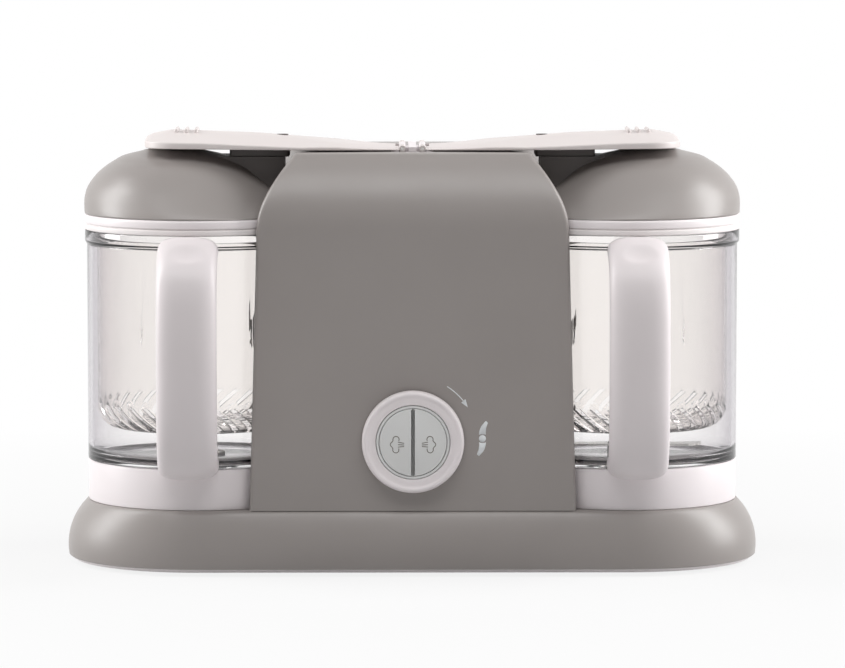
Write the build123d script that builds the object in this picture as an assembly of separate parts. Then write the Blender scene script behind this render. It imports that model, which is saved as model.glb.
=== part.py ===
from build123d import *

import os
from math import acos, cos, hypot, pi, radians, sin, sqrt

# Twin-bowl baby food maker: two clear bowls with steaming baskets stand on a long base, one each
# side of a column that holds the water tanks, boilers and motor. Each bowl has its own hinged lid.
# Millimetres. Origin: centre of the plan on the surface that the feet stand on. +X right, +Y back.

# ---- layout ----
BOWL_X = 120.2            # bowl axis from the centre plane
BASE_LENGTH = 390.0
BASE_DEPTH = 142.0        # of the long stadium part
BACK_Y = 102.0            # rear face of the base behind the column
BACK_WIDTH = 190.0
BACK_CORNER = 22.0
DECK_Z = 36.0             # top of the base
ROOF_Z = 233.4            # top of the column
WALL = 2.8
CLEAR = 10.0              # how far a cutter stands past what it cuts
SEAT_GAP = 0.05           # between pieces of one body that nest
RUN_GAP = 0.05            # radial running fit of a shaft or pin
FREE_GAP = 0.3            # between curved faces that move past each other

# ---- base ----
BULGE_RADIUS = 35.0       # of the rounded side, in section
BULGE_Z = 10.0            # height of the widest line
SIDE_LEAN = 0.57          # the long sides lean in by this share of what the ends do
SHELL_Z = 7.2             # lower rim of the grey shell
TRAY_Z = 1.5
TRAY_FLOOR = 2.5
TRAY_TOP_INSET = 1.2
TRAY_FOOT_INSET = 8.0
FOOT_RADIUS = 9.0
FOOT_RECESS = 1.0
FOOT_INSET, FOOT_Y = 45.0, 36.0          # end feet: from the base's end, and to each side of its axis
REAR_FOOT_X, REAR_FOOT_INSET = 38.0, 22.0
SCREW_INSET = 23.0        # screws: from the base's ends, its front and its rear
FRONT_SCREW_X, REAR_SCREW_X = 60.0, 66.0
BOSS_RADIUS = 4.6
SCREW_RADIUS = 1.5
SCREW_HEAD_RADIUS = 3.0
SCREW_HEAD = 1.5
SCREW_LENGTH = 14.0
GLAND_X, GLAND_Z = -66.0, 18.0
GLAND_RADIUS = 7.0
GLAND_BORE = 3.6

# ---- column ----
HUG_RADIUS = 67.0         # concave sides round the bowls
FRONT_Y = -64.2           # front face at the deck
FRONT_TOP_Y = -61.8       # front face where the top curve starts
CROWN_Z = ROOF_Z - 41.4
CROWN_RADIUS = 52.0
CROWN_RISES = (0.0, 6.0, 12.0, 17.5, 22.5, 27.0, 31.0, 34.5)
TIP_RADIUS = 2.5          # rounded vertical edge of the front
SPLIT_Y = 30.0            # joint between front and rear cover
REAR_Y = 93.0
REAR_HALF_WIDTH = 88.0
REAR_CORNER = 18.0
REAR_CROWN = 26.0

# ---- hinge ----
HINGE_X = 5.6
HINGE_Z = ROOF_Z + 1.5
PIN_RADIUS = 1.0
BARREL_RADIUS = 1.9
BARREL_HALF = 28.0        # half length of the row of barrels
KNUCKLE_HALF = 11.6
KNUCKLE_RADIUS = 1.9
RIB_HALF, RIB_TOP_Z = 2.2, HINGE_Z + 1.0
SLOT_HALF_X = 12.0
SLOT_HALF_Y = BARREL_HALF + 1.5
HINGE_FLOOR_Z = ROOF_Z - 1.6

# ---- bowls ----
BAND_RADIUS = 63.0
BAND_TOP_Z = 58.9
BAND_WALL = 2.6
WEB_Z = 45.0
WEB = 2.5
JUG_RADIUS = 63.3
JUG_WALL = 2.6
JUG_FLOOR_Z = 60.0
JUG_FLOOR = 3.5
JUG_BOSS_RADIUS = 14.0
JUG_BOSS_Z = 52.0
COLLAR_RADIUS = 64.5
RIM_Z = ROOF_Z - 44.7     # of the bowl, where the lid closes
COLLAR_Z = RIM_Z - 6.7
COLLAR_WALL = 2.2
BASKET_RADIUS = 57.8
BASKET_WALL = 1.8
BASKET_FLOOR_Z = 77.0
BASKET_CORNER = 11.0
BASKET_FLANGE = 2.0
SLOT_COUNT = 24
SLOT_WIDTH = 2.8
SLOT_TOP_Z = 96.0
TWIST = 30.0              # degrees from locked to free
LUG_SPAN = 24.0
LUG = 1.8
DOCK_NECK_RADIUS = 46.0
DOCK_RADIUS = 50.0
DOCK_LEDGE = 2.6
DOCK_HEIGHT = 5.0

# ---- handles ----
HANDLE_X = 124.2
HANDLE_WIDTH = 33.4
HANDLE_FRONT_Y = -102.0
HANDLE_TOP_Z = RIM_Z - 0.3
HANDLE_BOTTOM_Z = 54.0
# distance behind the handle's front, and share of its height, for its outer and inner side view
GRIP_OUTER = [(11.0, 0.911), (3.5, 0.807), (0.0, 0.613), (0.8, 0.342), (6.0, 0.149), (18.0, 0.019), (28.0, 0.0)]
GRIP_INNER = [(21.0, 0.179), (16.8, 0.342), (16.0, 0.613), (19.0, 0.792)]
GRIP_ROOT_LOW, GRIP_ROOT_HIGH = 16.0, 17.0
DIMPLE_RADIUS, DIMPLE_BEHIND, DIMPLE_ABOVE = 22.0, 14.0, 16.0

# ---- lids ----
SEAL_TOP_Z = RIM_Z + 3.9
RING_TOP_Z = SEAL_TOP_Z + 4.9
RING_RADIUS = 64.8
SEAL_WIDTH = 6.5
DOME_WALL = 2.5
# height above the lid ring, and the dome's reach from the bowl axis outwards and towards the column
DOME_LEVELS = [
    (0.0, 64.5, 64.5),
    (3.5, 64.7, 59.6),
    (9.5, 64.4, 50.0),
    (15.6, 62.4, 41.9),
    (22.0, 57.6, 34.4),
    (26.5, 52.4, 28.7),
    (29.5, 47.8, 22.9),
    (32.4, 42.3, 15.6),
    (35.1, 31.8, 4.2),
]
NECK_X, NECK_RADIUS, NECK_TOP_Z = BOWL_X + 12.8, 14.0, HINGE_Z + 4.1
# distance from the centre plane, half depth, underside, front edge top, half ridge, ridge top;
# the three heights are from the hinge axis
ARM_LEVELS = [
    (HINGE_X, 28.0, -0.80, -0.3, 12.0, 0.6),
    (18.0, 30.0, -0.75, 0.0, 12.0, 1.2),
    (40.5, 33.0, -0.60, 0.5, 10.0, 3.0),
    (63.0, 35.0, -0.40, 1.1, 8.0, 5.6),
    (87.0, 36.0, -0.15, 2.3, 6.0, 7.7),
    (118.0, 36.0, 0.20, 3.7, 6.0, 8.9),
    (135.0, 36.0, 0.40, 4.0, 6.0, 9.5),
    (150.0, 36.0, 0.50, 4.2, 6.0, 5.7),
]
ARM_CORNER = 18.0
GRIP_RIBS = [121.5, 127.0, 132.5]
GRIP_RIB_WIDTH, GRIP_RIB_HALF = 2.2, 12.0
GRIP_RIB_TOP_Z = HINGE_Z + 10.4
GRIP_RIB_DEEP = 2.8
DUCT_X0, DUCT_X1 = 71.7, 118.0
DUCT_TOP_Z, DUCT_BOTTOM_Z, DUCT_HALF = HINGE_Z - 5.0, HINGE_Z - 22.9, 16.0
DUCT_PLATE_Z0, DUCT_PLATE_Z1 = HINGE_Z, HINGE_Z + 1.7
DUCT_BORE = 4.0
DUCT_NECK_X0, DUCT_NECK_X1, DUCT_NECK_HALF = DUCT_X0 + 6, DUCT_X0 + 24, 8.0
DUCT_SKIN = 0.8           # left under the channel in the plate
POCKET_MARGIN = 7.0       # of the plate round the steam outlet
POCKET_END_X, POCKET_Y1 = DUCT_X1 - 14, 12.0
VENT_X, VENT_TOP_Z, VENT_HALF = 73.0, HINGE_Z + 6.9, 3.2

# ---- tanks, boilers and steam ----
TANK_X0, TANK_X1 = 3.0, 43.0
TANK_Y0, TANK_Y1 = -38.0, 58.0
TANK_Z0, TANK_Z1 = 136.0, ROOF_Z - 11.4
TANK_WALL, TANK_CORNER = 2.0, 8.0
MOUTH_X, MOUTH_Y = 29.5, 14.0
MOUTH_RADIUS = 11.0
PLUG_RADIUS = 9.6
PLUG_DEPTH = 3.0
BOILER_X, BOILER_Y = 27.0, -2.0
BOILER_RADIUS = 19.0
HEATER = 3.5
BOILER_HEIGHT, BOILER_WALL = 32.0, 3.0
STEAM_X, STEAM_Y = 47.3, -22.0
PIPE_RADIUS = 3.5
PIPE_BORE = 2.2
PIPE_BEND, PIPE_RISE, PIPE_SHIFT = 18.0, 18.0, 46.0

# ---- motor and drive ----
MOTOR_Y = 56.0
MOTOR_RADIUS = 28.0
MOTOR_Z0, MOTOR_Z1 = 62.0, 128.0
MOTOR_SKIN = 2.0
ROTOR_RADIUS, ROTOR_END = 20.0, 12.0
LEG_RADIUS, LEG_INSET, BRACKET = 4.5, 5.0, 3.0
MOTOR_SHAFT_RADIUS = 3.0
MOTOR_PULLEY_RADIUS = 9.6
DRIVE_PULLEY_RADIUS = 32.0
PULLEY_Z, PULLEY_HEIGHT, PULLEY_LIP = 12.5, 11.0, 1.0
BELT_THICK = 1.8
SHAFT_RADIUS = 4.0
BEARING_RADIUS = 11.0
BEARING_WIDTH, BEARING_SPACE = 7.0, 2.0
DOG_RADIUS = 7.0          # corner radius of the six-sided drive dog
DRIVER_RADIUS = 11.5
SPINDLE_RADIUS = 3.0
BUSH_RADIUS = 7.0
BUSH_TOP_Z = 63.0
HUB_RADIUS = 9.5
HUB_TOP_Z = 69.0
BLADE_Z, BLADE = 65.8, 1.2
BLADE_REACH = 44.0

# ---- controls ----
KNOB_Z = 75.0
KNOB_RADIUS = 28.3
KNOB_BORE = 20.6
KNOB_HUB_RADIUS = 22.7
KNOB_FRONT_Y = -72.0
KNOB_BACK_Y = -64.5
BUTTON_RADIUS = 18.7
BUTTON_FRONT_Y = -71.4
BUTTON_TRAVEL = 2.0
BUTTON_DEPTH = 13.2
SEAM = 0.6
CARRIER_Y = -52.0         # rear face of the carrier behind the panel
CARRIER_RADIUS = 36.0
CARRIER = 2.0
BOARD = 1.6
POST_RADIUS, POST_REACH = 3.0, 32.0
POST_ANGLES = (0, 90, 180, 300)
TAB, TAB_HALF, TAB_REACH, TAB_BACK = 2.0, 3.0, 30.0, 1.4
COIL_WIRE, COIL_PITCH = 0.6, 1.3
SWITCH_X0, SWITCH_X1, SWITCH_DROP, SWITCH_HEIGHT = -33.0, -26.5, 16.0, 7.0
BOARD_HALF = 30.0
PAD_DOME_RADIUS, PAD_DOME_X = 5.0, 9.0


def save(shape, node):
    export_step(shape, f"parts/{node}.step")


def save_pair(shape, name):
    """Writes the right-hand piece and its mirror image."""
    save(shape, f"{name}_right")
    save(mirror(shape, about=Plane.YZ), f"{name}_left")


def group(solids):
    return Compound(children=list(solids))


def rod(radius, z0, z1, x=0.0, y=0.0):
    """Upright cylinder from height z0 to z1."""
    return Pos(x, y, (z0 + z1) / 2) * Cylinder(radius, z1 - z0)


def rod_y(radius, y0, y1, x=0.0, z=0.0):
    """Cylinder along Y from y0 to y1."""
    return Pos(x, (y0 + y1) / 2, z) * Rot(90, 0, 0) * Cylinder(radius, y1 - y0)


def block(x0, x1, y0, y1, z0, z1):
    return Pos((x0 + x1) / 2, (y0 + y1) / 2, (z0 + z1) / 2) * Box(x1 - x0, y1 - y0, z1 - z0)


def turned(points, x=0.0, y=0.0):
    """Solid of revolution about the upright line at x, y, from (radius, height) points."""
    face = make_face(Plane.XZ * Polyline(*points, close=True))
    return Pos(x, y, 0) * revolve(face, Axis.Z)


# ---------------------------------------------------------------- base
def bulge(z):
    """How far the base's rounded side stands in from its widest line at height z."""
    return BULGE_RADIUS - sqrt(BULGE_RADIUS**2 - (z - BULGE_Z) ** 2)


def stadium(z, inset, skin=0.0):
    """Outline at height z: straight long sides, half-ellipse ends about the bowl axes."""
    across = BASE_LENGTH / 2 - BOWL_X - inset - skin
    deep = BASE_DEPTH / 2 - inset * SIDE_LEAN - skin
    middle = Rectangle(2 * BOWL_X, 2 * deep)
    ends = [Pos(side * BOWL_X, 0) * Ellipse(across, deep) for side in (-1, 1)]
    return Pos(0, 0, z) * (middle + ends)


def back_pad(z, inset, skin=0.0):
    """Outline at height z of the part of the base that stands out behind the column."""
    lean = inset * SIDE_LEAN + skin
    deep = BACK_Y - lean
    return Pos(0, deep / 2, z) * RectangleRounded(BACK_WIDTH - 2 * lean, deep, BACK_CORNER - lean)


def base_form(levels, skin=0.0):
    """Solid between the given heights whose sides follow the bulge, skin inside the outer face."""
    long_part = loft([stadium(z, bulge(z), skin) for z in levels])
    back_part = loft([back_pad(z, bulge(z), skin) for z in levels])
    return long_part + back_part


def foot_places():
    end_x = BASE_LENGTH / 2 - FOOT_INSET
    places = [(x, y) for x in (-end_x, end_x) for y in (-FOOT_Y, FOOT_Y)]
    return places + [(side * REAR_FOOT_X, BACK_Y - REAR_FOOT_INSET) for side in (-1, 1)]


def screw_places():
    front_y, rear_y = SCREW_INSET - BASE_DEPTH / 2, BACK_Y - SCREW_INSET
    places = []
    for side in (-1, 1):
        places.append((side * (BASE_LENGTH / 2 - SCREW_INSET), 0))
        places += [(side * FRONT_SCREW_X, front_y), (side * REAR_SCREW_X, rear_y)]
    return places


def base_shell():
    levels = [SHELL_Z + (DECK_Z - SHELL_Z) * step / 5 for step in range(6)]
    inner = [SHELL_Z + (DECK_Z - WALL - SHELL_Z) * step / 5 for step in range(6)]
    shell = base_form(levels) - base_form(inner, WALL)
    for x, y in screw_places():
        shell += rod(BOSS_RADIUS, TRAY_Z + TRAY_FLOOR, DECK_Z - WALL / 2, x, y)
        shell -= rod(SCREW_RADIUS + SEAT_GAP, TRAY_Z, TRAY_Z + SCREW_LENGTH + 1, x, y)
    shell += rod(BEARING_RADIUS + WALL, bearing_levels()[0] - 0.4, DECK_Z - WALL / 2, BOWL_X)
    shell -= rod(BEARING_RADIUS + SEAT_GAP, SHELL_Z, DECK_Z + 1, BOWL_X)
    shell -= rod(MOTOR_SHAFT_RADIUS + 4, DECK_Z - WALL - 1, DECK_Z + 1, 0, MOTOR_Y)
    shell -= rod_y(GLAND_RADIUS + SEAT_GAP, REAR_Y - 10, BACK_Y + 1, GLAND_X, GLAND_Z)
    return shell


def base_tray():
    """White lower tray: sloped rim under the shell, flat floor with foot recesses."""
    rim_top, foot = TRAY_TOP_INSET, TRAY_FOOT_INSET
    outer = loft([stadium(TRAY_Z, 0, foot), stadium(SHELL_Z, 0, rim_top)])
    outer += loft([back_pad(TRAY_Z, 0, foot), back_pad(SHELL_Z, 0, rim_top)])
    floor_z = TRAY_Z + TRAY_FLOOR
    inner = extrude(stadium(floor_z, 0, foot + WALL), SHELL_Z)
    inner += extrude(back_pad(floor_z, 0, foot + WALL), SHELL_Z)
    tray = outer - inner
    for x, y in foot_places():
        tray -= rod(FOOT_RADIUS + SEAT_GAP, TRAY_Z - 1, TRAY_Z + FOOT_RECESS, x, y)
    for x, y in screw_places():
        tray -= rod(SCREW_HEAD_RADIUS + SEAT_GAP, TRAY_Z - 1, TRAY_Z + SCREW_HEAD, x, y)
        tray -= rod(SCREW_RADIUS + SEAT_GAP, TRAY_Z, floor_z + 1, x, y)
    return tray


def rubber_feet():
    return group(rod(FOOT_RADIUS, 0, TRAY_Z + FOOT_RECESS, x, y) for x, y in foot_places())


def base_screws():
    head_top = TRAY_Z + SCREW_HEAD
    return group(
        rod(SCREW_HEAD_RADIUS, TRAY_Z + 0.1, head_top, x, y)
        + rod(SCREW_RADIUS, head_top - 0.1, TRAY_Z + SCREW_LENGTH, x, y)
        for x, y in screw_places()
    )


def cord_gland():
    """Bush in the rear wall that a mains lead passes through."""
    wall_y = BACK_Y - SIDE_LEAN * bulge(GLAND_Z) - WALL
    gland = rod_y(GLAND_RADIUS, wall_y - 8, BACK_Y - 0.6, GLAND_X, GLAND_Z)
    gland += rod_y(GLAND_RADIUS + 3, wall_y - 6, wall_y - 3.5, GLAND_X, GLAND_Z)
    return gland - rod_y(GLAND_BORE, wall_y - 9, BACK_Y + 1, GLAND_X, GLAND_Z)


# ---------------------------------------------------------------- column
def front_y(z):
    """Y of the column's front face at height z: a slight lean, then the crown's curve."""
    if z <= CROWN_Z:
        share = (z - DECK_Z) / (CROWN_Z - DECK_Z)
        return FRONT_Y + (FRONT_TOP_Y - FRONT_Y) * share
    return FRONT_TOP_Y + CROWN_RADIUS - sqrt(CROWN_RADIUS**2 - (z - CROWN_Z) ** 2)


def hug_x(y, radius=HUG_RADIUS):
    """X of the concave side at y."""
    return BOWL_X - sqrt(radius**2 - y**2)


def front_section(z, skin=0.0):
    """Plan of the front cover at height z, skin inside its outer face."""
    face_y = front_y(z) + skin
    radius = HUG_RADIUS + skin
    tip = max(TIP_RADIUS - skin, 0.4)
    tip_y = face_y + tip
    tip_x = BOWL_X - sqrt((radius + tip) ** 2 - tip_y**2)
    # the tip's circle touches the concave side on the line between the two centres
    share = radius / (radius + tip)
    touch = (BOWL_X + (tip_x - BOWL_X) * share, tip_y * share)
    start = (hug_x(SPLIT_Y, radius), SPLIT_Y)
    middle_y = (start[1] + touch[1]) / 2
    middle = (hug_x(middle_y, radius), middle_y)
    turn = radians(-32)
    nose = (tip_x + tip * cos(turn), tip_y + tip * sin(turn))
    right = [ThreePointArc(start, middle, touch), ThreePointArc(touch, nose, (tip_x, face_y))]
    left = [mirror(edge, about=Plane.YZ) for edge in right]
    front = Line((tip_x, face_y), (-tip_x, face_y))
    back = Line((-start[0], SPLIT_Y), start)
    return Pos(0, 0, z) * make_face(right + left + [front, back])


def column_levels(top):
    bends = [CROWN_Z + rise for rise in CROWN_RISES]
    return [DECK_Z, (DECK_Z + CROWN_Z) / 2] + bends + [top]


def roof_cuts():
    """Openings in the roof: the hinge slot, the two tank mouths and the two steam outlets."""
    low, high = ROOF_Z - WALL - 1, ROOF_Z + 1
    cuts = block(-SLOT_HALF_X, SLOT_HALF_X, -SLOT_HALF_Y, SLOT_HALF_Y, low, high)
    neck = MOUTH_RADIUS + TANK_WALL + SEAT_GAP
    for side in (-1, 1):
        cuts += rod(neck, low, high, side * MOUTH_X, MOUTH_Y)
        cuts += rod(outlet_radius() + SEAT_GAP, low, high, side * STEAM_X, STEAM_Y)
    return cuts


def column_front_cover():
    outer = loft([front_section(z) for z in column_levels(ROOF_Z)], ruled=True)
    inner = loft([front_section(z, WALL) for z in column_levels(ROOF_Z - WALL)], ruled=True)
    cover = outer - inner
    cover -= rod_y(KNOB_HUB_RADIUS + FREE_GAP, FRONT_Y - 5, FRONT_Y + 8, 0, KNOB_Z)
    return cover - roof_cuts()


def rear_section(skin=0.0):
    """Plan of the rear cover: concave sides that end in a rounded tank housing."""
    radius = HUG_RADIUS + skin
    side_x = REAR_HALF_WIDTH - skin
    rear = REAR_Y - skin
    corner = REAR_CORNER - skin
    shoulder_y = sqrt(radius**2 - (BOWL_X - side_x) ** 2)
    start = (hug_x(SPLIT_Y, radius), SPLIT_Y)
    middle_y = (SPLIT_Y + shoulder_y) / 2
    diagonal = corner * (1 - sqrt(0.5))
    right = [
        ThreePointArc(start, (hug_x(middle_y, radius), middle_y), (side_x, shoulder_y)),
        Line((side_x, shoulder_y), (side_x, rear - corner)),
        ThreePointArc((side_x, rear - corner), (side_x - diagonal, rear - diagonal), (side_x - corner, rear)),
    ]
    left = [mirror(edge, about=Plane.YZ) for edge in right]
    ends = [Line((side_x - corner, rear), (corner - side_x, rear)), Line((-start[0], SPLIT_Y), start)]
    return make_face(right + left + ends)


def rear_crown(skin=0.0):
    """Side view that rounds the top rear edge, to cut the rear cover with."""
    top, rear, radius = ROOF_Z - skin, REAR_Y - skin, REAR_CROWN - skin
    diagonal = radius * (1 - sqrt(0.5))
    edges = [
        Line((SPLIT_Y, DECK_Z), (rear, DECK_Z)),
        Line((rear, DECK_Z), (rear, top - radius)),
        ThreePointArc((rear, top - radius), (rear - diagonal, top - diagonal), (rear - radius, top)),
        Line((rear - radius, top), (SPLIT_Y, top)),
        Line((SPLIT_Y, top), (SPLIT_Y, DECK_Z)),
    ]
    return extrude(Plane.YZ * make_face(edges), REAR_HALF_WIDTH + 1, both=True)


def rear_form(skin=0.0):
    body = extrude(Pos(0, 0, DECK_Z) * rear_section(skin), ROOF_Z - skin - DECK_Z)
    return body & rear_crown(skin)


def column_rear_cover():
    return rear_form() - rear_form(WALL) - roof_cuts()


# ---------------------------------------------------------------- hinge
def hinge_block():
    """Bed under the roof slot with a centre rib and the knuckle that holds both pins."""
    bed = block(
        -SLOT_HALF_X + SEAT_GAP, SLOT_HALF_X - SEAT_GAP,
        -SLOT_HALF_Y + SEAT_GAP, SLOT_HALF_Y - SEAT_GAP, HINGE_FLOOR_Z - 5, HINGE_FLOOR_Z
    )
    flange_top = ROOF_Z - WALL
    bed += block(
        -SLOT_HALF_X - 3, SLOT_HALF_X + 3, -SLOT_HALF_Y + 3, SLOT_HALF_Y + 4, flange_top - 3, flange_top
    )
    bed += block(-RIB_HALF, RIB_HALF, -SLOT_HALF_Y + 0.5, SLOT_HALF_Y - 0.5, HINGE_FLOOR_Z - 1, RIB_TOP_Z)
    reach = HINGE_X + KNUCKLE_RADIUS
    bed += block(-reach, reach, -KNUCKLE_HALF, KNUCKLE_HALF, HINGE_FLOOR_Z - 1, HINGE_Z)
    for side in (-1, 1):
        bed += rod_y(KNUCKLE_RADIUS, -KNUCKLE_HALF, KNUCKLE_HALF, side * HINGE_X, HINGE_Z)
        bed -= rod_y(PIN_RADIUS + SEAT_GAP / 5, -KNUCKLE_HALF - 1, KNUCKLE_HALF + 1, side * HINGE_X, HINGE_Z)
    return bed


def hinge_pins():
    half = BARREL_HALF - 1
    return group(rod_y(PIN_RADIUS, -half, half, side * HINGE_X, HINGE_Z) for side in (-1, 1))


# ---------------------------------------------------------------- lids, drawn for the right side
def dome_form(skin=0.0):
    """Solid dome whose round sections drift outwards as they rise, skin inside the outer face."""
    sections = []
    for rise, far, near in DOME_LEVELS:
        drop = skin if rise > DOME_LEVELS[-3][0] else 0.0
        centre = BOWL_X + (far - near) / 2
        sections.append(Pos(centre, 0, RING_TOP_Z + rise - drop) * Circle((far + near) / 2 - skin))
    return loft(sections)


def dome():
    shell = dome_form() - dome_form(DOME_WALL)
    shell += rod(NECK_RADIUS, RING_TOP_Z + DOME_LEVELS[-1][0] - 1.5, NECK_TOP_Z, NECK_X)
    port_z = (DUCT_TOP_Z + DUCT_BOTTOM_Z) / 2
    return shell - Pos(BOWL_X - 25, 0, port_z) * Rot(0, 90, 0) * Cylinder(DUCT_BORE, 50)


def lid_ring():
    inner = RING_RADIUS - SEAL_WIDTH
    return turned(
        [(inner, SEAL_TOP_Z), (RING_RADIUS, SEAL_TOP_Z), (RING_RADIUS, RING_TOP_Z - 1.5),
         (RING_RADIUS - 0.7, RING_TOP_Z), (inner, RING_TOP_Z)], BOWL_X)


def lid_seal():
    """Soft ring under the lid that closes on the bowl's rim, with a groove round its outside."""
    inner = RING_RADIUS - SEAL_WIDTH
    return turned(
        [(inner, RIM_Z), (RING_RADIUS, RIM_Z), (RING_RADIUS, SEAL_TOP_Z - 0.9),
         (RING_RADIUS - 0.8, SEAL_TOP_Z - 0.6), (RING_RADIUS - 0.8, SEAL_TOP_Z), (inner, SEAL_TOP_Z)], BOWL_X)


def arm_section(level):
    x, half, under, edge_top, ridge_half, ridge = level
    points = [(-half, under), (half, under), (half, edge_top), (ridge_half, ridge),
              (-ridge_half, ridge), (-half, edge_top)]
    return Plane(origin=(x, 0, HINGE_Z), x_dir=(0, 1, 0), z_dir=(1, 0, 0)) * make_face(Polyline(*points, close=True))


def arm_plan():
    """Rounded plan outline of the arm, which trims its outer corners."""
    first, last = ARM_LEVELS[0], ARM_LEVELS[-1]
    half = max(level[1] for level in ARM_LEVELS)
    length = last[0] - first[0] + 2 * ARM_CORNER
    x = last[0] - length / 2
    return extrude(Pos(x, 0, HINGE_Z - CLEAR) * RectangleRounded(length, 2 * half, ARM_CORNER), 3 * CLEAR)


def duct_pocket(gap=0.0):
    """Flat space in the arm's underside that the steam duct's plate fills."""
    x0, x1 = STEAM_X - POCKET_MARGIN - gap, POCKET_END_X + gap
    y0, y1 = STEAM_Y - POCKET_MARGIN - gap, POCKET_Y1 + gap
    return block(x0, x1, y0, y1, DUCT_PLATE_Z0 - 2 * (gap > 0), DUCT_PLATE_Z1 + gap)


def lid_arm():
    arm = loft([arm_section(level) for level in ARM_LEVELS], ruled=True) & arm_plan()
    for x in GRIP_RIBS:
        arm += block(x - GRIP_RIB_WIDTH / 2, x + GRIP_RIB_WIDTH / 2, -GRIP_RIB_HALF, GRIP_RIB_HALF,
                     GRIP_RIB_TOP_Z - GRIP_RIB_DEEP, GRIP_RIB_TOP_Z)
    arm += rod_y(BARREL_RADIUS, -BARREL_HALF, BARREL_HALF, HINGE_X, HINGE_Z)
    notch = HINGE_X + KNUCKLE_RADIUS + 2
    arm -= block(0, notch, -KNUCKLE_HALF - 0.4, KNUCKLE_HALF + 0.4, HINGE_Z - CLEAR, HINGE_Z + CLEAR)
    arm -= rod_y(PIN_RADIUS + RUN_GAP, -BARREL_HALF - 1, BARREL_HALF + 1, HINGE_X, HINGE_Z)
    arm -= rod(NECK_RADIUS + SEAT_GAP, HINGE_Z - CLEAR, NECK_TOP_Z + SEAT_GAP, NECK_X)
    arm -= duct_pocket(SEAT_GAP)
    arm -= rod(VENT_HALF + SEAT_GAP, HINGE_Z - CLEAR, HINGE_Z + 2 * CLEAR, VENT_X)
    return arm - rod(plug_stem() + SEAT_GAP, HINGE_Z - CLEAR, HINGE_Z + 0.5, MOUTH_X, MOUTH_Y)


def steam_duct():
    """Dark duct: a plate in the arm, a neck, and a block that leads steam into the dome."""
    duct = duct_pocket()
    duct += block(DUCT_NECK_X0, DUCT_NECK_X1, -DUCT_NECK_HALF, DUCT_NECK_HALF, DUCT_TOP_Z - 1, DUCT_PLATE_Z0 + 0.5)
    duct += block(DUCT_X0, DUCT_X1, -DUCT_HALF, DUCT_HALF, DUCT_BOTTOM_Z, DUCT_TOP_Z)
    duct += rod(VENT_HALF, DUCT_PLATE_Z0 + 0.2, VENT_TOP_Z, VENT_X)
    channel_z, channel_end = DUCT_PLATE_Z0 + DUCT_SKIN, DUCT_NECK_X1 - 2
    low_y, high_y = STEAM_Y - DUCT_BORE, STEAM_Y + DUCT_BORE
    duct -= block(STEAM_X - DUCT_BORE, channel_end, low_y, high_y, channel_z, DUCT_PLATE_Z1 + 1)
    duct -= block(DUCT_NECK_X0 + 2, channel_end, low_y, DUCT_BORE, channel_z, DUCT_PLATE_Z1 + 1)
    duct -= rod(PIPE_BORE + 1, DUCT_PLATE_Z0 - 2, DUCT_PLATE_Z1, STEAM_X, STEAM_Y)
    middle = (DUCT_NECK_X0 + DUCT_NECK_X1) / 2
    port_z = (DUCT_TOP_Z + DUCT_BOTTOM_Z) / 2
    duct -= rod(DUCT_BORE, port_z, DUCT_PLATE_Z1 + 1, middle)
    duct -= Pos((middle + DUCT_X1) / 2, 0, port_z) * Rot(0, 90, 0) * Cylinder(DUCT_BORE, DUCT_X1 - middle)
    whole = duct - dome_form(-3 * SEAT_GAP)
    return max(whole.solids(), key=lambda piece: piece.volume)


def plug_stem():
    return PLUG_RADIUS / 2.4


def tank_plug():
    """Soft plug under the arm that closes the water tank's mouth."""
    under = arm_under(MOUTH_X - PLUG_RADIUS)
    plug = rod(PLUG_RADIUS, under - PLUG_DEPTH, under, MOUTH_X, MOUTH_Y)
    return plug + rod(plug_stem(), under - 1, HINGE_Z + 0.4, MOUTH_X, MOUTH_Y)


def arm_under(x):
    """Height of the arm's underside at a distance from the centre plane."""
    for near, far in zip(ARM_LEVELS, ARM_LEVELS[1:]):
        if near[0] <= x <= far[0]:
            return HINGE_Z + near[2] + (far[2] - near[2]) * (x - near[0]) / (far[0] - near[0])
    return HINGE_Z + ARM_LEVELS[0][2]


# ---------------------------------------------------------------- bowls, drawn for the right side
def dock():
    """Bayonet plate on the deck: a neck under a ledge with three notches for the bowl's lugs."""
    ledge_z = DECK_Z + DOCK_HEIGHT - DOCK_LEDGE
    plate = rod(DOCK_NECK_RADIUS, DECK_Z, ledge_z + 0.5, BOWL_X)
    plate += rod(DOCK_RADIUS, ledge_z, DECK_Z + DOCK_HEIGHT, BOWL_X)
    for turn in lug_turns():
        plate -= sector(DOCK_NECK_RADIUS + 0.4, DOCK_RADIUS + 1, turn + TWIST, LUG_SPAN + 4,
                        DECK_Z, DECK_Z + DOCK_HEIGHT + 1)
    return plate - rod(BEARING_RADIUS + SEAT_GAP, DECK_Z - 1, DECK_Z + DOCK_HEIGHT + 1, BOWL_X)


def lug_turns():
    return (30.0, 150.0, 270.0)


def sector(inner, outer, turn, span, z0, z1):
    """Part of a ring about the right bowl's axis, span degrees wide about the direction turn."""
    def at(radius, angle):
        return (radius * cos(radians(angle)), radius * sin(radians(angle)))

    low, high = turn - span / 2, turn + span / 2
    edges = [
        ThreePointArc(at(outer, low), at(outer, turn), at(outer, high)),
        Line(at(outer, high), at(inner, high)),
        ThreePointArc(at(inner, high), at(inner, turn), at(inner, low)),
        Line(at(inner, low), at(outer, low)),
    ]
    return extrude(Pos(BOWL_X, 0, z0) * make_face(edges), z1 - z0)


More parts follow.
